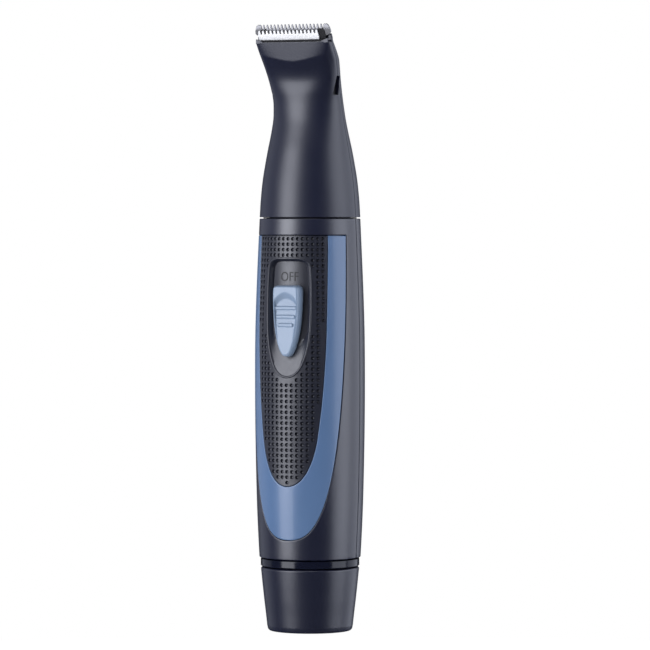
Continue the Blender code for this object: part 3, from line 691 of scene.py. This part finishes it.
def trim_band(trim):
    outer = flattened(bezier(BAND_EDGE))
    inner = [Vector(point) for point in band_outline(PANEL_EDGE, trim.gap)]
    inner = [point for point in inner if point.x >= 0 and point.y < INLAY_TOP - 0.001]
    inner.append(Vector((inner[-1].x, INLAY_TOP)))
    outline = outer + [tuple(point) for point in reversed(inner)]
    outline += [(-x, z) for x, z in inner[1:]] + [(-x, z) for x, z in reversed(outer[1:])]
    return wrapped(slab(outline, -INLAY_THICKNESS, 0.02, trim.rounding), across=2.5 * DEGREE, along=2.0)


def grip_cells(grip):
    """A closed slab of square cells for the grip, with a round pit in each cell that has room for one."""
    columns, rows = 9, 49
    top_row = INLAY_TOP - grip.pit_radius - 0.28
    edge = [tuple(point) for point in band_outline(PANEL_EDGE, -(grip.margin + grip.pit_radius))]
    well = [tuple(point) for point in well_loop(0.6 + grip.pit_radius)]
    half = grip.pitch / 2
    border = [(-1, -1), (0, -1), (1, -1), (1, 0), (1, 1), (0, 1), (-1, 1), (-1, 0)]
    bm = bmesh.new()
    for column in range(-columns, columns + 1):
        for row in range(-1, rows):
            x, z = column * grip.pitch, top_row - row * grip.pitch
            frame_points = [bm.verts.new((x + a * half, z + b * half, 0.0)) for a, b in border]
            if row >= 0 and inside(edge, x, min(z, top_row - 0.3)) and not inside(well, x, z):
                rings = []
                for part, depth in ((1.0, 0.0), (0.88, 0.5), (0.64, 0.84), (0.3, 1.0)):
                    turns = [math.radians(-135 + 22.5 * step) for step in range(16)]
                    rings.append([bm.verts.new((x + grip.pit_radius * part * math.cos(t),
                                                z + grip.pit_radius * part * math.sin(t),
                                                -grip.pit_depth * depth)) for t in turns])
                rim = rings[0]
                for k in range(8):
                    after = frame_points[(k + 1) % 8]
                    bm.faces.new((frame_points[k], after, rim[(2 * k + 2) % 16], rim[2 * k + 1], rim[2 * k]))
                for outer, inner in zip(rings, rings[1:]):
                    for k in range(16):
                        bm.faces.new((outer[k], outer[(k + 1) % 16], inner[(k + 1) % 16], inner[k]))
                bm.faces.new(rings[-1])
            else:
                bm.faces.new(frame_points)
            bm.faces.new([bm.verts.new((x + a * half, z + b * half, -INLAY_THICKNESS))
                          for a, b in reversed(border)])
    bmesh.ops.remove_doubles(bm, verts=bm.verts, dist=0.001)
    bmesh.ops.bridge_loops(bm, edges=[edge for edge in bm.edges if edge.is_boundary])
    return tidied(bm)


def grip_panel(grip):
    plate = slab(band_outline(PANEL_EDGE), -2.0, 0.05, 0.25, [well_loop(0.25)])
    return wrapped(combined(grip_cells(grip), "INTERSECT", plate))


def well_pan():
    """The switch well: a raised rim, steep walls, a ramp at its foot and a curved floor."""
    rim = well_loop(0.0, 200)
    foot = smooth(78.0, 66.0, rim[:, 1])
    floor_edge = grown(rim, -0.5)
    floor_edge[:, 1] += foot * 5.0
    floor_edge[:, 0] *= 1 - foot * 0.12
    loops = []
    wall_in, wall_top = -0.10, -0.12
    for by, proud in ((0.52, -0.5), (0.52, 0.0), (0.47, 0.11), (0.35, 0.19), (0.2, 0.21), (0.06, 0.14),
                      (-0.02, 0.02), (wall_in, wall_top)):
        loops.append([(x, z, proud) for x, z in grown(rim, by)])
    start = grown(rim, wall_in)
    for part in np.linspace(0.12, 1.0, 9):
        drop = wall_top - (WELL_DEPTH + wall_top) * part ** (1.0 + 0.25 * (1 - foot))
        level = start * (1 - part) + floor_edge * part
        loops.append([(x, z, d) for (x, z), d in zip(level, drop)])
    middle = np.stack((np.zeros(len(rim)), np.clip(floor_edge[:, 1], 73.0, 91.5)), axis=1)
    for part in np.linspace(0.15, 1.0, 8):
        level = floor_edge * (1 - part) + middle * part
        loops.append([(x, z, -WELL_DEPTH) for x, z in level])
    under = []
    for part in np.linspace(1.0, 0.0, 6):
        level = grown(rim, 0.2) * (1 - part) + middle * part
        under.append([(x, z, -WELL_DEPTH - 0.8) for x, z in level])
    bm = skinned([*loops, *under, loops[0]])
    pan = tidied(bm, weld=0.002)
    slot = block((-1.1, 77.6, -4.0), (1.1, 86.4, 1.0), 0.0)
    return wrapped(combined(pan, "DIFFERENCE", slot))


def off_legend():
    """The word for off, as thin flat letters on the floor of the well."""
    text = bpy.data.curves.new("legend", "FONT")
    text.body = "OFF"
    text.extrude = 0.02
    text.resolution_u = 6
    mesh = evaluated(bpy.data.objects.new("legend", text))
    points = np.array([v.co for v in mesh.vertices])
    low, high = points.min(axis=0), points.max(axis=0)
    width, tall, bottom = 5.6, 2.35, 89.5
    sunk, thickness = 0.04, 0.09
    for vert in mesh.vertices:
        part = (np.array(vert.co) - low) / (high - low)
        vert.co = ((part[0] - 0.5) * width, bottom + part[1] * tall,
                   -WELL_DEPTH - sunk + part[2] * thickness)
    return wrapped(mesh)


def build_handle():
    scene = bpy.context.scene
    casing, trim, grip = scene.groomer_casing, scene.groomer_trim, scene.groomer_grip
    link("front_shell_skin", front_shell(casing, trim), "handle", "navy_plastic", ["front_shell"])
    rear = slab(shell_outline(casing.groove), -WALL, 0.0, casing.rounding)
    rear = wrapped(rear, 180.0, across=2.5 * DEGREE)
    link("rear_shell_skin", rear, "handle", "navy_plastic", ["rear_shell"])
    link("blue_trim_band", trim_band(trim), "handle", "blue_satin", ["trim_band"])
    link("dimpled_grip", grip_panel(grip), "handle", "grip_rubber", ["grip_panel"])
    link("switch_well", well_pan(), "handle", "grip_rubber")
    link("off_legend", off_legend(), "handle", "legend", weighted=False)


# ---------------------------------------------------------------- switch


def button_depth(x, z, settings):
    """How much lower than its face the button lies at a point: the scoop less the ribs."""
    arc = 86.9 - 1.6 * (x / 2.8) ** 2
    fall = smooth(arc, arc - 2.0, z) * (1 - smooth(85.5, 73.0, z))
    half_width = np.interp(z, [70.3, 72.6, 75.8, 79.5, 83.5, 88.5], [0.3, 1.8, 2.6, 3.1, 3.3, 3.35])
    depth = settings.scoop * fall * smooth(half_width - 0.1, half_width - 0.5, abs(x))
    for middle, reach in ((82.7, 3.15), (80.5, 2.65), (78.4, 2.15)):
        side = math.hypot(max(abs(x) - (reach - 0.4), 0.0), z - middle - 0.05 * math.cos(x / 2))
        depth -= settings.rib * smooth(0.52, 0.25, side)
    return depth


def switch_button(settings):
    outline = rounded_loop(mirrored(BUTTON_HALF), 340)
    middle = np.stack((np.zeros(len(outline)), np.clip(outline[:, 1], 72.8, 86.6)), axis=1)
    under = [math.sqrt((handle_radius(z) - WELL_DEPTH + BUTTON_LIFT) ** 2 - x * x) for x, z in outline]
    loops = [[(x, -front, z) for (x, z), front in zip(outline, under)]]
    for by, below in ((-0.06, 1.3), (-0.16, 0.62), (-0.22, 0.40), (-0.32, 0.20), (-0.46, 0.07), (-0.62, 0.0)):
        loops.append([(x, -(BUTTON_FACE - below), z) for x, z in grown(outline, by)])
    face = grown(outline, -0.62)
    for part in np.linspace(0.025, 1.0, 40):
        level = face * (1 - part) + middle * part
        loops.append([(x, -(BUTTON_FACE - button_depth(x, z, settings)), z) for x, z in level])
    back = [[(x * part, -front, z0 + (z - z0) * part)
             for (x, z), front, z0 in zip(outline, under, middle[:, 1])] for part in (0.6, 0.0)]
    bm = skinned([*reversed(back), *loops])
    cap = tidied(bm, weld=0.003)
    stem = block((-0.8, -13.4, 78.0), (0.8, -11.5, 82.0), 0.1)
    return merged(cap, stem)


def build_switch():
    button = switch_button(bpy.context.scene.groomer_button)
    link("slide_button", button, "switch", "blue_button", ["switch_button"], sharp=50.0)


# ---------------------------------------------------------------- cap, ring and inside


def build_cap():
    inner = [(0.0, 1.5), (9.3, 1.5), (9.3, 14.0), (8.5, 14.8), (8.5, 20.5)]
    neck = [(9.7, 20.5), (9.7, 18.3), (9.1, 18.3), (9.1, 17.3), (9.7, 17.3), (9.7, 16.3)]
    outer = [(12.25, 16.3), (12.58, 15.95), (12.2, 12.2), (11.75, 8.0), (11.32, 4.4), (10.98, 1.3),
             (10.78, 0.4), (10.4, 0.0), (0.0, 0.0)]
    profile = eased_profile([*inner, *neck, *outer], 0.15)
    profile = [profile[0]] + profile + [profile[-1]]
    link("battery_cap", turned(profile[:-1], joined=False), "cap", "navy_plastic", ["end_cap"])
    ring = [(11.0, 23.5), (11.0, 18.5), (12.62, 18.5), (12.62, 16.6), (10.0, 16.6), (10.0, 23.5)]
    link("gloss_ring", turned(eased_profile(ring, 0.22, 5)), "handle", "black_gloss", ["cap_ring"])
    link("cap_o_ring", o_ring(17.8, 9.5, 0.27), "cap", "seal_rubber", ["cap_seal"])
    coil = []
    for t in np.linspace(0.0, 1.0, 161):
        turn, radius = 8 * math.pi * t, 5.6 - 2.0 * t
        coil.append((radius * math.cos(turn), radius * math.sin(turn), 2.9 + 6.8 * t))
    link("cell_spring", wire(coil, 0.4), "cap", "spring_steel", ["cap_spring"])


def build_inside():
    cell = [(0.0, 61.0), (2.5, 61.0), (2.75, 60.75), (2.75, 59.8), (5.9, 59.8), (6.3, 60.0), (6.7, 60.0),
            (7.1, 59.8), (7.25, 59.3), (7.25, 11.2), (7.1, 10.75), (6.7, 10.6), (6.2, 10.8), (5.6, 10.6),
            (5.0, 10.5), (0.0, 10.5)]
    link("dry_cell", turned(cell, 96, joined=False), "battery", "battery_wrap", ["battery"])
    spigot = [(10.2, 110.5), (10.2, 107.9), (9.95, 107.9), (9.95, 106.5), (10.2, 106.5), (10.2, 105.62),
              (11.95, 105.62), (11.95, 105.33), (10.9, 105.33), (10.9, 97.0), (9.4, 97.0), (9.4, 103.0),
              (8.8, 103.6), (8.8, 108.9), (4.0, 108.9), (4.0, 110.5)]
    link("spigot", turned(eased_profile(spigot, 0.25)), "handle", "black_plastic", ["head_spigot"])
    link("neck_o_ring", o_ring(107.2, 10.25, 0.42), "handle", "seal_rubber", ["neck_seal"])
    detent = [(3.7, -10.3, 73.0), (3.7, -10.3, 77.5), (3.4, -10.3, 79.0), (3.7, -10.3, 80.5),
              (3.7, -10.3, 81.5), (3.4, -10.3, 83.0), (3.7, -10.3, 84.5), (3.7, -10.3, 89.0)]
    link("detent_wire", wire(smooth_path(detent, 8), 0.22), "handle", "spring_steel", ["detent_spring"])
    red = [(1.5, -10.1, 90.5), (5.7, -9.4, 92.8), (7.4, -8.2, 88.5), (7.7, -7.9, 80.0),
           (7.7, -7.9, 71.0), (8.1, -7.4, 67.4), (7.9, -6.2, 65.2), (6.0, -3.4, 65.2)]
    link("red_wire", wire(smooth_path(red, 12), 0.45), "handle", "red_lead", ["lead_positive"])
    black = [(2.0, 10.1, 58.5), (4.2, 10.0, 61.5), (7.4, 8.0, 64.8), (8.0, 5.0, 65.3), (5.6, 3.0, 65.3)]
    link("black_wire", wire(smooth_path(black, 12), 0.45), "handle", "black_lead", ["lead_negative"])


# ---------------------------------------------------------------- head


def facet_edge(x):
    """Height of the lower edge of the lip's flat facet."""
    return FACET_LOW + 1.5 * (abs(x) / 8.0) ** 1.35 + 2.4 * smooth(8.6, 10.3, abs(x))


def head_row(sections, height, side, inset, groove):
    """Evenly spaced points along one half of the head's section; side is -1 for the front."""
    _, half_width, centre, half_depth, square = table_at(sections, height)
    turn = np.linspace(0, math.pi, 721)
    x = (half_width - inset) * np.sign(np.cos(turn)) * np.abs(np.cos(turn)) ** (2 / square)
    depth = max(half_depth - inset, 0.02)
    y = depth * np.abs(np.sin(turn)) ** (2 / square)
    length = np.concatenate(([0.0], np.cumsum(np.hypot(np.diff(x), np.diff(y)))))
    wanted = np.linspace(0.0, length[-1], HEAD_COLUMNS)
    x, y = np.interp(wanted, length, x), np.interp(wanted, length, y)
    if side < 0:
        plane = -11.2 + (LIP_TOP - height) * 0.22
        face = np.array([plane + 0.40 * max(0.0, facet_edge(value) - height) for value in x]) + inset
        pulled = smooth(136.5, 145.5, height) * np.clip(y / depth, 0, 1) ** 1.2
        y = y - pulled * (face - (centre - (half_depth - inset)))
    y = centre + side * np.maximum(y, groove / 2)
    return [(a, b, height) for a, b in zip(x, y)]


def head_half(side, sections, top, groove):
    """One half of the head's casing with an even wall."""
    heights = np.concatenate((np.arange(HEAD_BOTTOM, 140.0, 1.0), np.arange(140.0, top, 0.25), [top]))
    outer = [head_row(sections, height, side, 0.0, groove) for height in heights]
    inner = [head_row(sections, height, side, HEAD_WALL, groove) for height in heights]
    bm = skinned([[*a, *reversed(b)] for a, b in zip(outer, inner)])
    bm.verts.ensure_lookup_table()
    total = 2 * HEAD_COLUMNS
    for start in (0, (len(heights) - 1) * total):
        for i in range(HEAD_COLUMNS - 1):
            a, b = start + i, start + total - 1 - i
            bm.faces.new((bm.verts[a], bm.verts[a + 1], bm.verts[b - 1], bm.verts[b]))
    return tidied(bm)


def side_block(side, near, far, margin, rounding):
    """A block on one side of the head, larger than a snap window by a margin all round."""
    low, high = sorted((side * near, side * far))
    return block((low, -4.5 - margin, 136.7 - margin), (high, -2.6 + margin, 141.5 + margin), rounding)


def snap_cutters():
    """What the snap windows take out of the head's two sides."""
    return [side_block(side, 7.0, 11.0, 0.0, 0.15) for side in (-1, 1)]


def edged(mesh, width=0.1):
    """A mesh with its sharp edges rounded."""
    drawn = bpy.data.objects.new("edged", mesh)
    bevel = drawn.modifiers.new("rounding", "BEVEL")
    bevel.limit_method = "ANGLE"
    bevel.angle_limit = math.radians(55)
    bevel.width = width
    bevel.segments = 2
    return evaluated(drawn)


def build_head():
    groove = 0.08
    front = edged(head_half(-1, HEAD_SECTIONS, LIP_TOP, groove))
    front = combined(front, "DIFFERENCE", *snap_cutters())
    ramps = []
    for side in (-1, 1):
        ramp = block((-0.95, -10.95, 149.6), (0.95, -10.55, 150.8), 0.08)
        for vert in ramp.vertices:
            if vert.co.z > 150.2:
                vert.co.z -= (0.95 - vert.co.x * side) * 0.38
            vert.co.x += side * 9.1
        ramps.append(ramp)
    link("head_front_skin", merged(front, *ramps), "head", "navy_head", ["head_front_body"], sharp=22.0)
    rear = edged(head_half(1, HEAD_SECTIONS + COVER_TOP, COVER_TOP[-1][0], groove), 0.08)
    rear = combined(rear, "DIFFERENCE", *snap_cutters())
    link("head_rear_skin", rear, "head", "navy_head", ["head_rear_cover"])
    for name, side in (("snap_tab_left", -1), ("snap_tab_right", 1)):
        link(name, side_block(side, 7.6, 8.35, 0.2, 0.2), "head", "black_plastic")


# ---------------------------------------------------------------- blades


def tooth_row(first, last, tips, roots, pitch, tip_width, root_width):
    """Points along a row of teeth, with rounded tips and roots."""
    count = round((last - first) / pitch)
    step = (last - first) / count
    points = []
    for number in range(count + 1):
        middle = first + step * number
        points += [(middle - root_width / 2, roots - 0.12), (middle - tip_width / 2, tips + 0.12),
                   (middle - tip_width / 4, tips), (middle + tip_width / 4, tips),
                   (middle + tip_width / 2, tips + 0.12), (middle + root_width / 2, roots - 0.12)]
        if number < count:
            points += [(middle + step / 2 - 0.08, roots), (middle + step / 2 + 0.08, roots)]
    return points


def circle(x, down, radius):
    turns = [2 * math.pi * step / 24 for step in range(24)]
    return [(x + radius * math.cos(turn), down + radius * math.sin(turn)) for turn in turns]


def comb_mesh(blade):
    teeth = tooth_row(-8.0, 8.0, 0.7, 1.85, blade.comb_pitch, 0.34, 0.62)
    end = [(8.62, 1.85), (8.66, 0.95), (8.85, 0.7), (9.6, 0.7), (9.95, 0.9), (10.2, 1.4), (10.45, 2.2),
           (10.5, 2.9), (10.2, 3.3), (8.7, 3.9), (8.7, 5.4), (7.9, 6.0), (7.9, 13.2)]
    outline = [(-x, down) for x, down in reversed(end)] + teeth + end
    window = [(-2.8, 9.1), (2.6, 9.1), (2.6, 10.8), (-2.8, 10.8)]
    comb = slab(outline, -0.3, 0.3, 0.05, [window, circle(-4.8, 12.0, 0.8), circle(4.8, 12.0, 0.8)])
    for vert in comb.vertices:
        vert.co.z = -0.3 + (vert.co.z + 0.3) * (0.45 + 0.55 * float(smooth(0.7, 2.0, vert.co.y)))
    return leaned(comb)


def cutter_mesh(blade):
    middle = CUTTER_REST_X
    edge = tooth_row(middle - 8.0, middle + 8.0, 1.95, 2.95, blade.cutter_pitch, 0.42, 0.66)
    side = [(-8.4, 3.1), (-8.4, 4.4), (-6.2, 4.4), (-6.2, 6.6), (-3.0, 7.6), (-3.0, 9.9)]
    left = [(middle + x, down) for x, down in reversed(side)]
    right = [(middle - x, down) for x, down in side]
    return leaned(slab(left + edge + right, 0.55, 0.95, 0.04))


def build_blades():
    blade = bpy.context.scene.groomer_blade
    link("comb_blade", comb_mesh(blade), "head", "comb_steel", ["fixed_comb"])
    link("cutter_blade", cutter_mesh(blade), "cutter", "cutter_steel", ["moving_cutter"])
    # Black pads on the comb beside the cutter's ends: painted shade where the cutter leaves the comb bare.
    for name, side in (("shade_pad_left", -1), ("shade_pad_right", 1)):
        half = [(7.15, 1.75), (8.55, 1.75), (8.95, 2.4), (9.0, 3.3), (8.6, 5.1), (7.15, 5.1)]
        shade_pad = [(side * x, down) for x, down in half]
        link(name, leaned(slab(shade_pad, 0.28, 0.5, 0.05)), "head", "black_plastic")
    # A black strip in front of the cutter's lower part: painted shade between the cutter and the lip.
    shade_strip_outline = [(-8.8, 4.35), (8.8, 4.35), (8.8, 6.0), (-8.8, 6.0)]
    link("cutter_shade_strip", leaned(slab(shade_strip_outline, 1.07, 1.35, 0.05)), "head", "black_plastic")


# ---------------------------------------------------------------- kept nodes, stage


def finish_kept_nodes():
    """Gives each node of the frame that still shows the finish of its slot."""
    for name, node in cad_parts.items():
        if node.hide_render:
            continue
        for slot in node.material_slots:
            finish = slot.material.name.split(".")[0]
            if finish not in FINISHES:
                raise RuntimeError(f"no finish for node {name}: {finish}")
            slot.material = FINISHES[finish]


def back_vector(azimuth, elevation):
    """From the groomer towards something that looks at it, with angles in radians."""
    return Vector((math.sin(azimuth) * math.cos(elevation), -math.cos(azimuth) * math.cos(elevation),
                   math.sin(elevation)))


TARGET = Vector((0.0, 0.0, 0.078))      # what the lights face, in metres
AIM_HEIGHT = 0.0781             # what the camera looks at, in metres
ASIDE = 0.00383                 # how far the camera looks past the axis, in metres
FLOOR_DROP = 66.0               # leaves room under the groomer for the cap and cell to slide out
COOL = (0.84, 0.88, 1.0)
LIGHTS = [                      # name, azimuth, elevation, distance, width, height, power, tint
    ("key_bank", -28.0, 13.0, 0.9, 0.56, 0.95, 10.6, (0.90, 0.92, 1.0)),
    ("left_bank", -100.0, 10.0, 0.9, 0.8, 1.0, 1.3, COOL),
    ("side_bank", 98.0, 10.0, 0.9, 0.68, 1.0, 6.4, COOL),
    ("rear_bank", 146.0, 10.0, 0.9, 0.8, 1.0, 3.4, COOL),
    ("top_bank", 10.0, 70.0, 1.0, 0.7, 0.5, 1.7, (1.0, 1.0, 1.0)),
]


def softbox(name, azimuth, elevation, distance, width, height, power, tint):
    """A flat studio light that faces the groomer, its angles in degrees and its sizes in metres."""
    lamp = bpy.data.lights.new(name, "AREA")
    lamp.shape = "RECTANGLE"
    lamp.size = width
    lamp.size_y = height
    lamp.energy = power * bpy.context.scene.groomer_studio.power
    lamp.color = tint
    made = bpy.data.objects.new(name, lamp)
    back = back_vector(math.radians(azimuth), math.radians(elevation))
    made.location = TARGET + back * distance
    made.rotation_euler = (-back).to_track_quat("-Z", "Y").to_euler()
    bpy.context.scene.collection.objects.link(made)


def build_floor(studio):
    """A pale disc that glows evenly but for a greyer middle, a painted shadow under the groomer."""
    bm = bmesh.new()
    bmesh.ops.create_circle(bm, cap_ends=True, segments=96, radius=0.6)
    mesh = bpy.data.meshes.new("studio_floor")
    bm.to_mesh(mesh)
    bm.free()
    finish = Finish("pale_floor", studio.floor, 0.9)
    away = finish.node("ShaderNodeVectorMath", {"operation": "LENGTH"}, {0: finish.place}).outputs["Value"]
    # The glow is greyer near the middle: a painted shadow round the groomer's foot.
    far = finish.node("ShaderNodeMapRange", {"interpolation_type": "SMOOTHSTEP"},
                      {"Value": away, "From Min": 0.02, "From Max": 0.28}).outputs[0]
    glow_and_painted_shadow = finish.between(far, (0.72, 0.73, 0.74, 1.0), (1.0, 1.0, 1.0, 1.0))
    finish.tree.links.new(glow_and_painted_shadow, finish.shader.inputs["Emission Color"])
    finish.shader.inputs["Emission Strength"].default_value = 1.0
    mesh.materials.append(finish.material)
    floor = bpy.data.objects.new("studio_floor", mesh)
    floor.location.z = -FLOOR_DROP * MM
    floor.visible_glossy = False
    bpy.context.scene.collection.objects.link(floor)


def build_world():
    """A world that is white to look at and dimmer as a light."""
    world = bpy.data.worlds.new("studio")
    world.use_nodes = True
    tree = world.node_tree
    seen, felt = tree.nodes["Background"], tree.nodes.new("ShaderNodeBackground")
    seen.inputs["Color"].default_value = (1.0, 1.0, 1.0, 1.0)
    seen.inputs["Strength"].default_value = 1.0
    felt.inputs["Color"].default_value = (0.93, 0.95, 1.0, 1.0)
    felt.inputs["Strength"].default_value = 0.045
    path, mix = tree.nodes.new("ShaderNodeLightPath"), tree.nodes.new("ShaderNodeMixShader")
    tree.links.new(path.outputs["Is Camera Ray"], mix.inputs[0])
    tree.links.new(felt.outputs[0], mix.inputs[1])
    tree.links.new(seen.outputs[0], mix.inputs[2])
    tree.links.new(mix.outputs[0], tree.nodes["World Output"].inputs["Surface"])
    bpy.context.scene.world = world


def build_camera(studio):
    camera = bpy.data.cameras.new("camera")
    camera.lens = studio.lens
    camera.sensor_width = 36.0
    made = bpy.data.objects.new("camera", camera)
    around = back_vector(studio.azimuth, 0.0)
    sideways = Vector((math.cos(studio.azimuth), math.sin(studio.azimuth), 0.0)) * ASIDE
    made.location = around * studio.distance + Vector((0, 0, studio.height)) + sideways
    aim = Vector((0, 0, AIM_HEIGHT)) + sideways
    made.rotation_euler = (aim - made.location).to_track_quat("-Z", "Y").to_euler()
    bpy.context.scene.collection.objects.link(made)
    bpy.context.scene.camera = made


def build_stage():
    studio = bpy.context.scene.groomer_studio
    build_floor(studio)
    build_world()
    build_camera(studio)
    for light in LIGHTS:
        softbox(*light)
    bpy.context.scene.view_settings.view_transform = "Standard"


# ---------------------------------------------------------------- operators and panel


class GroomerFinishes(bpy.types.Operator):
    """Makes the groomer's materials"""
    bl_idname = "groomer.finishes"
    bl_label = "Finishes"

    def execute(self, context):
        make_finishes()
        return {"FINISHED"}


class GroomerHandle(bpy.types.Operator):
    """Builds the handle's casing with its band, grip and switch well"""
    bl_idname = "groomer.handle"
    bl_label = "Handle"

    def execute(self, context):
        build_handle()
        return {"FINISHED"}


class GroomerSwitch(bpy.types.Operator):
    """Builds the slide switch's button"""
    bl_idname = "groomer.switch"
    bl_label = "Switch"

    def execute(self, context):
        build_switch()
        return {"FINISHED"}


class GroomerCap(bpy.types.Operator):
    """Builds the battery cap, its spring and seal, and the ring above it"""
    bl_idname = "groomer.cap"
    bl_label = "Cap and ring"

    def execute(self, context):
        build_cap()
        return {"FINISHED"}


class GroomerInside(bpy.types.Operator):
    """Builds the cell, spigot, seals, springs and leads"""
    bl_idname = "groomer.inside"
    bl_label = "Inside"

    def execute(self, context):
        build_inside()
        return {"FINISHED"}


class GroomerHead(bpy.types.Operator):
    """Builds the two halves of the head's casing"""
    bl_idname = "groomer.head"
    bl_label = "Head"

    def execute(self, context):
        build_head()
        return {"FINISHED"}


class GroomerBlades(bpy.types.Operator):
    """Builds the comb and the cutter"""
    bl_idname = "groomer.blades"
    bl_label = "Blades"

    def execute(self, context):
        build_blades()
        return {"FINISHED"}


class GroomerKept(bpy.types.Operator):
    """Finishes the nodes that the frame still shows"""
    bl_idname = "groomer.kept"
    bl_label = "Kept nodes"

    def execute(self, context):
        finish_kept_nodes()
        return {"FINISHED"}


class GroomerStage(bpy.types.Operator):
    """Sets the floor, lights and camera"""
    bl_idname = "groomer.stage"
    bl_label = "Stage"

    def execute(self, context):
        build_stage()
        return {"FINISHED"}


OPERATORS = (GroomerFinishes, GroomerHandle, GroomerSwitch, GroomerCap, GroomerInside, GroomerHead,
             GroomerBlades, GroomerKept, GroomerStage)


class GroomerPanel(bpy.types.Panel):
    """Lists the groomer's pieces and settings"""
    bl_idname = "VIEW3D_PT_groomer"
    bl_label = "Body groomer"
    bl_space_type = "VIEW_3D"
    bl_region_type = "UI"
    bl_category = "Groomer"

    def draw(self, context):
        for operator in OPERATORS:
            self.layout.operator(operator.bl_idname)
        for name, group in SETTINGS.items():
            settings = getattr(context.scene, name)
            box = self.layout.box()
            for key in group.__annotations__:
                box.prop(settings, key)


def register():
    for name, group in SETTINGS.items():
        bpy.utils.register_class(group)
        setattr(bpy.types.Scene, name, bpy.props.PointerProperty(type=group))
    for made in (*OPERATORS, GroomerPanel):
        bpy.utils.register_class(made)


def unregister():
    for made in (GroomerPanel, *reversed(OPERATORS)):
        bpy.utils.unregister_class(made)
    for name, group in SETTINGS.items():
        delattr(bpy.types.Scene, name)
        bpy.utils.unregister_class(group)


def main():
    register()
    for operator in OPERATORS:
        getattr(bpy.ops.groomer, operator.bl_idname.split(".")[1])()


if __name__ == "__main__":
    main()
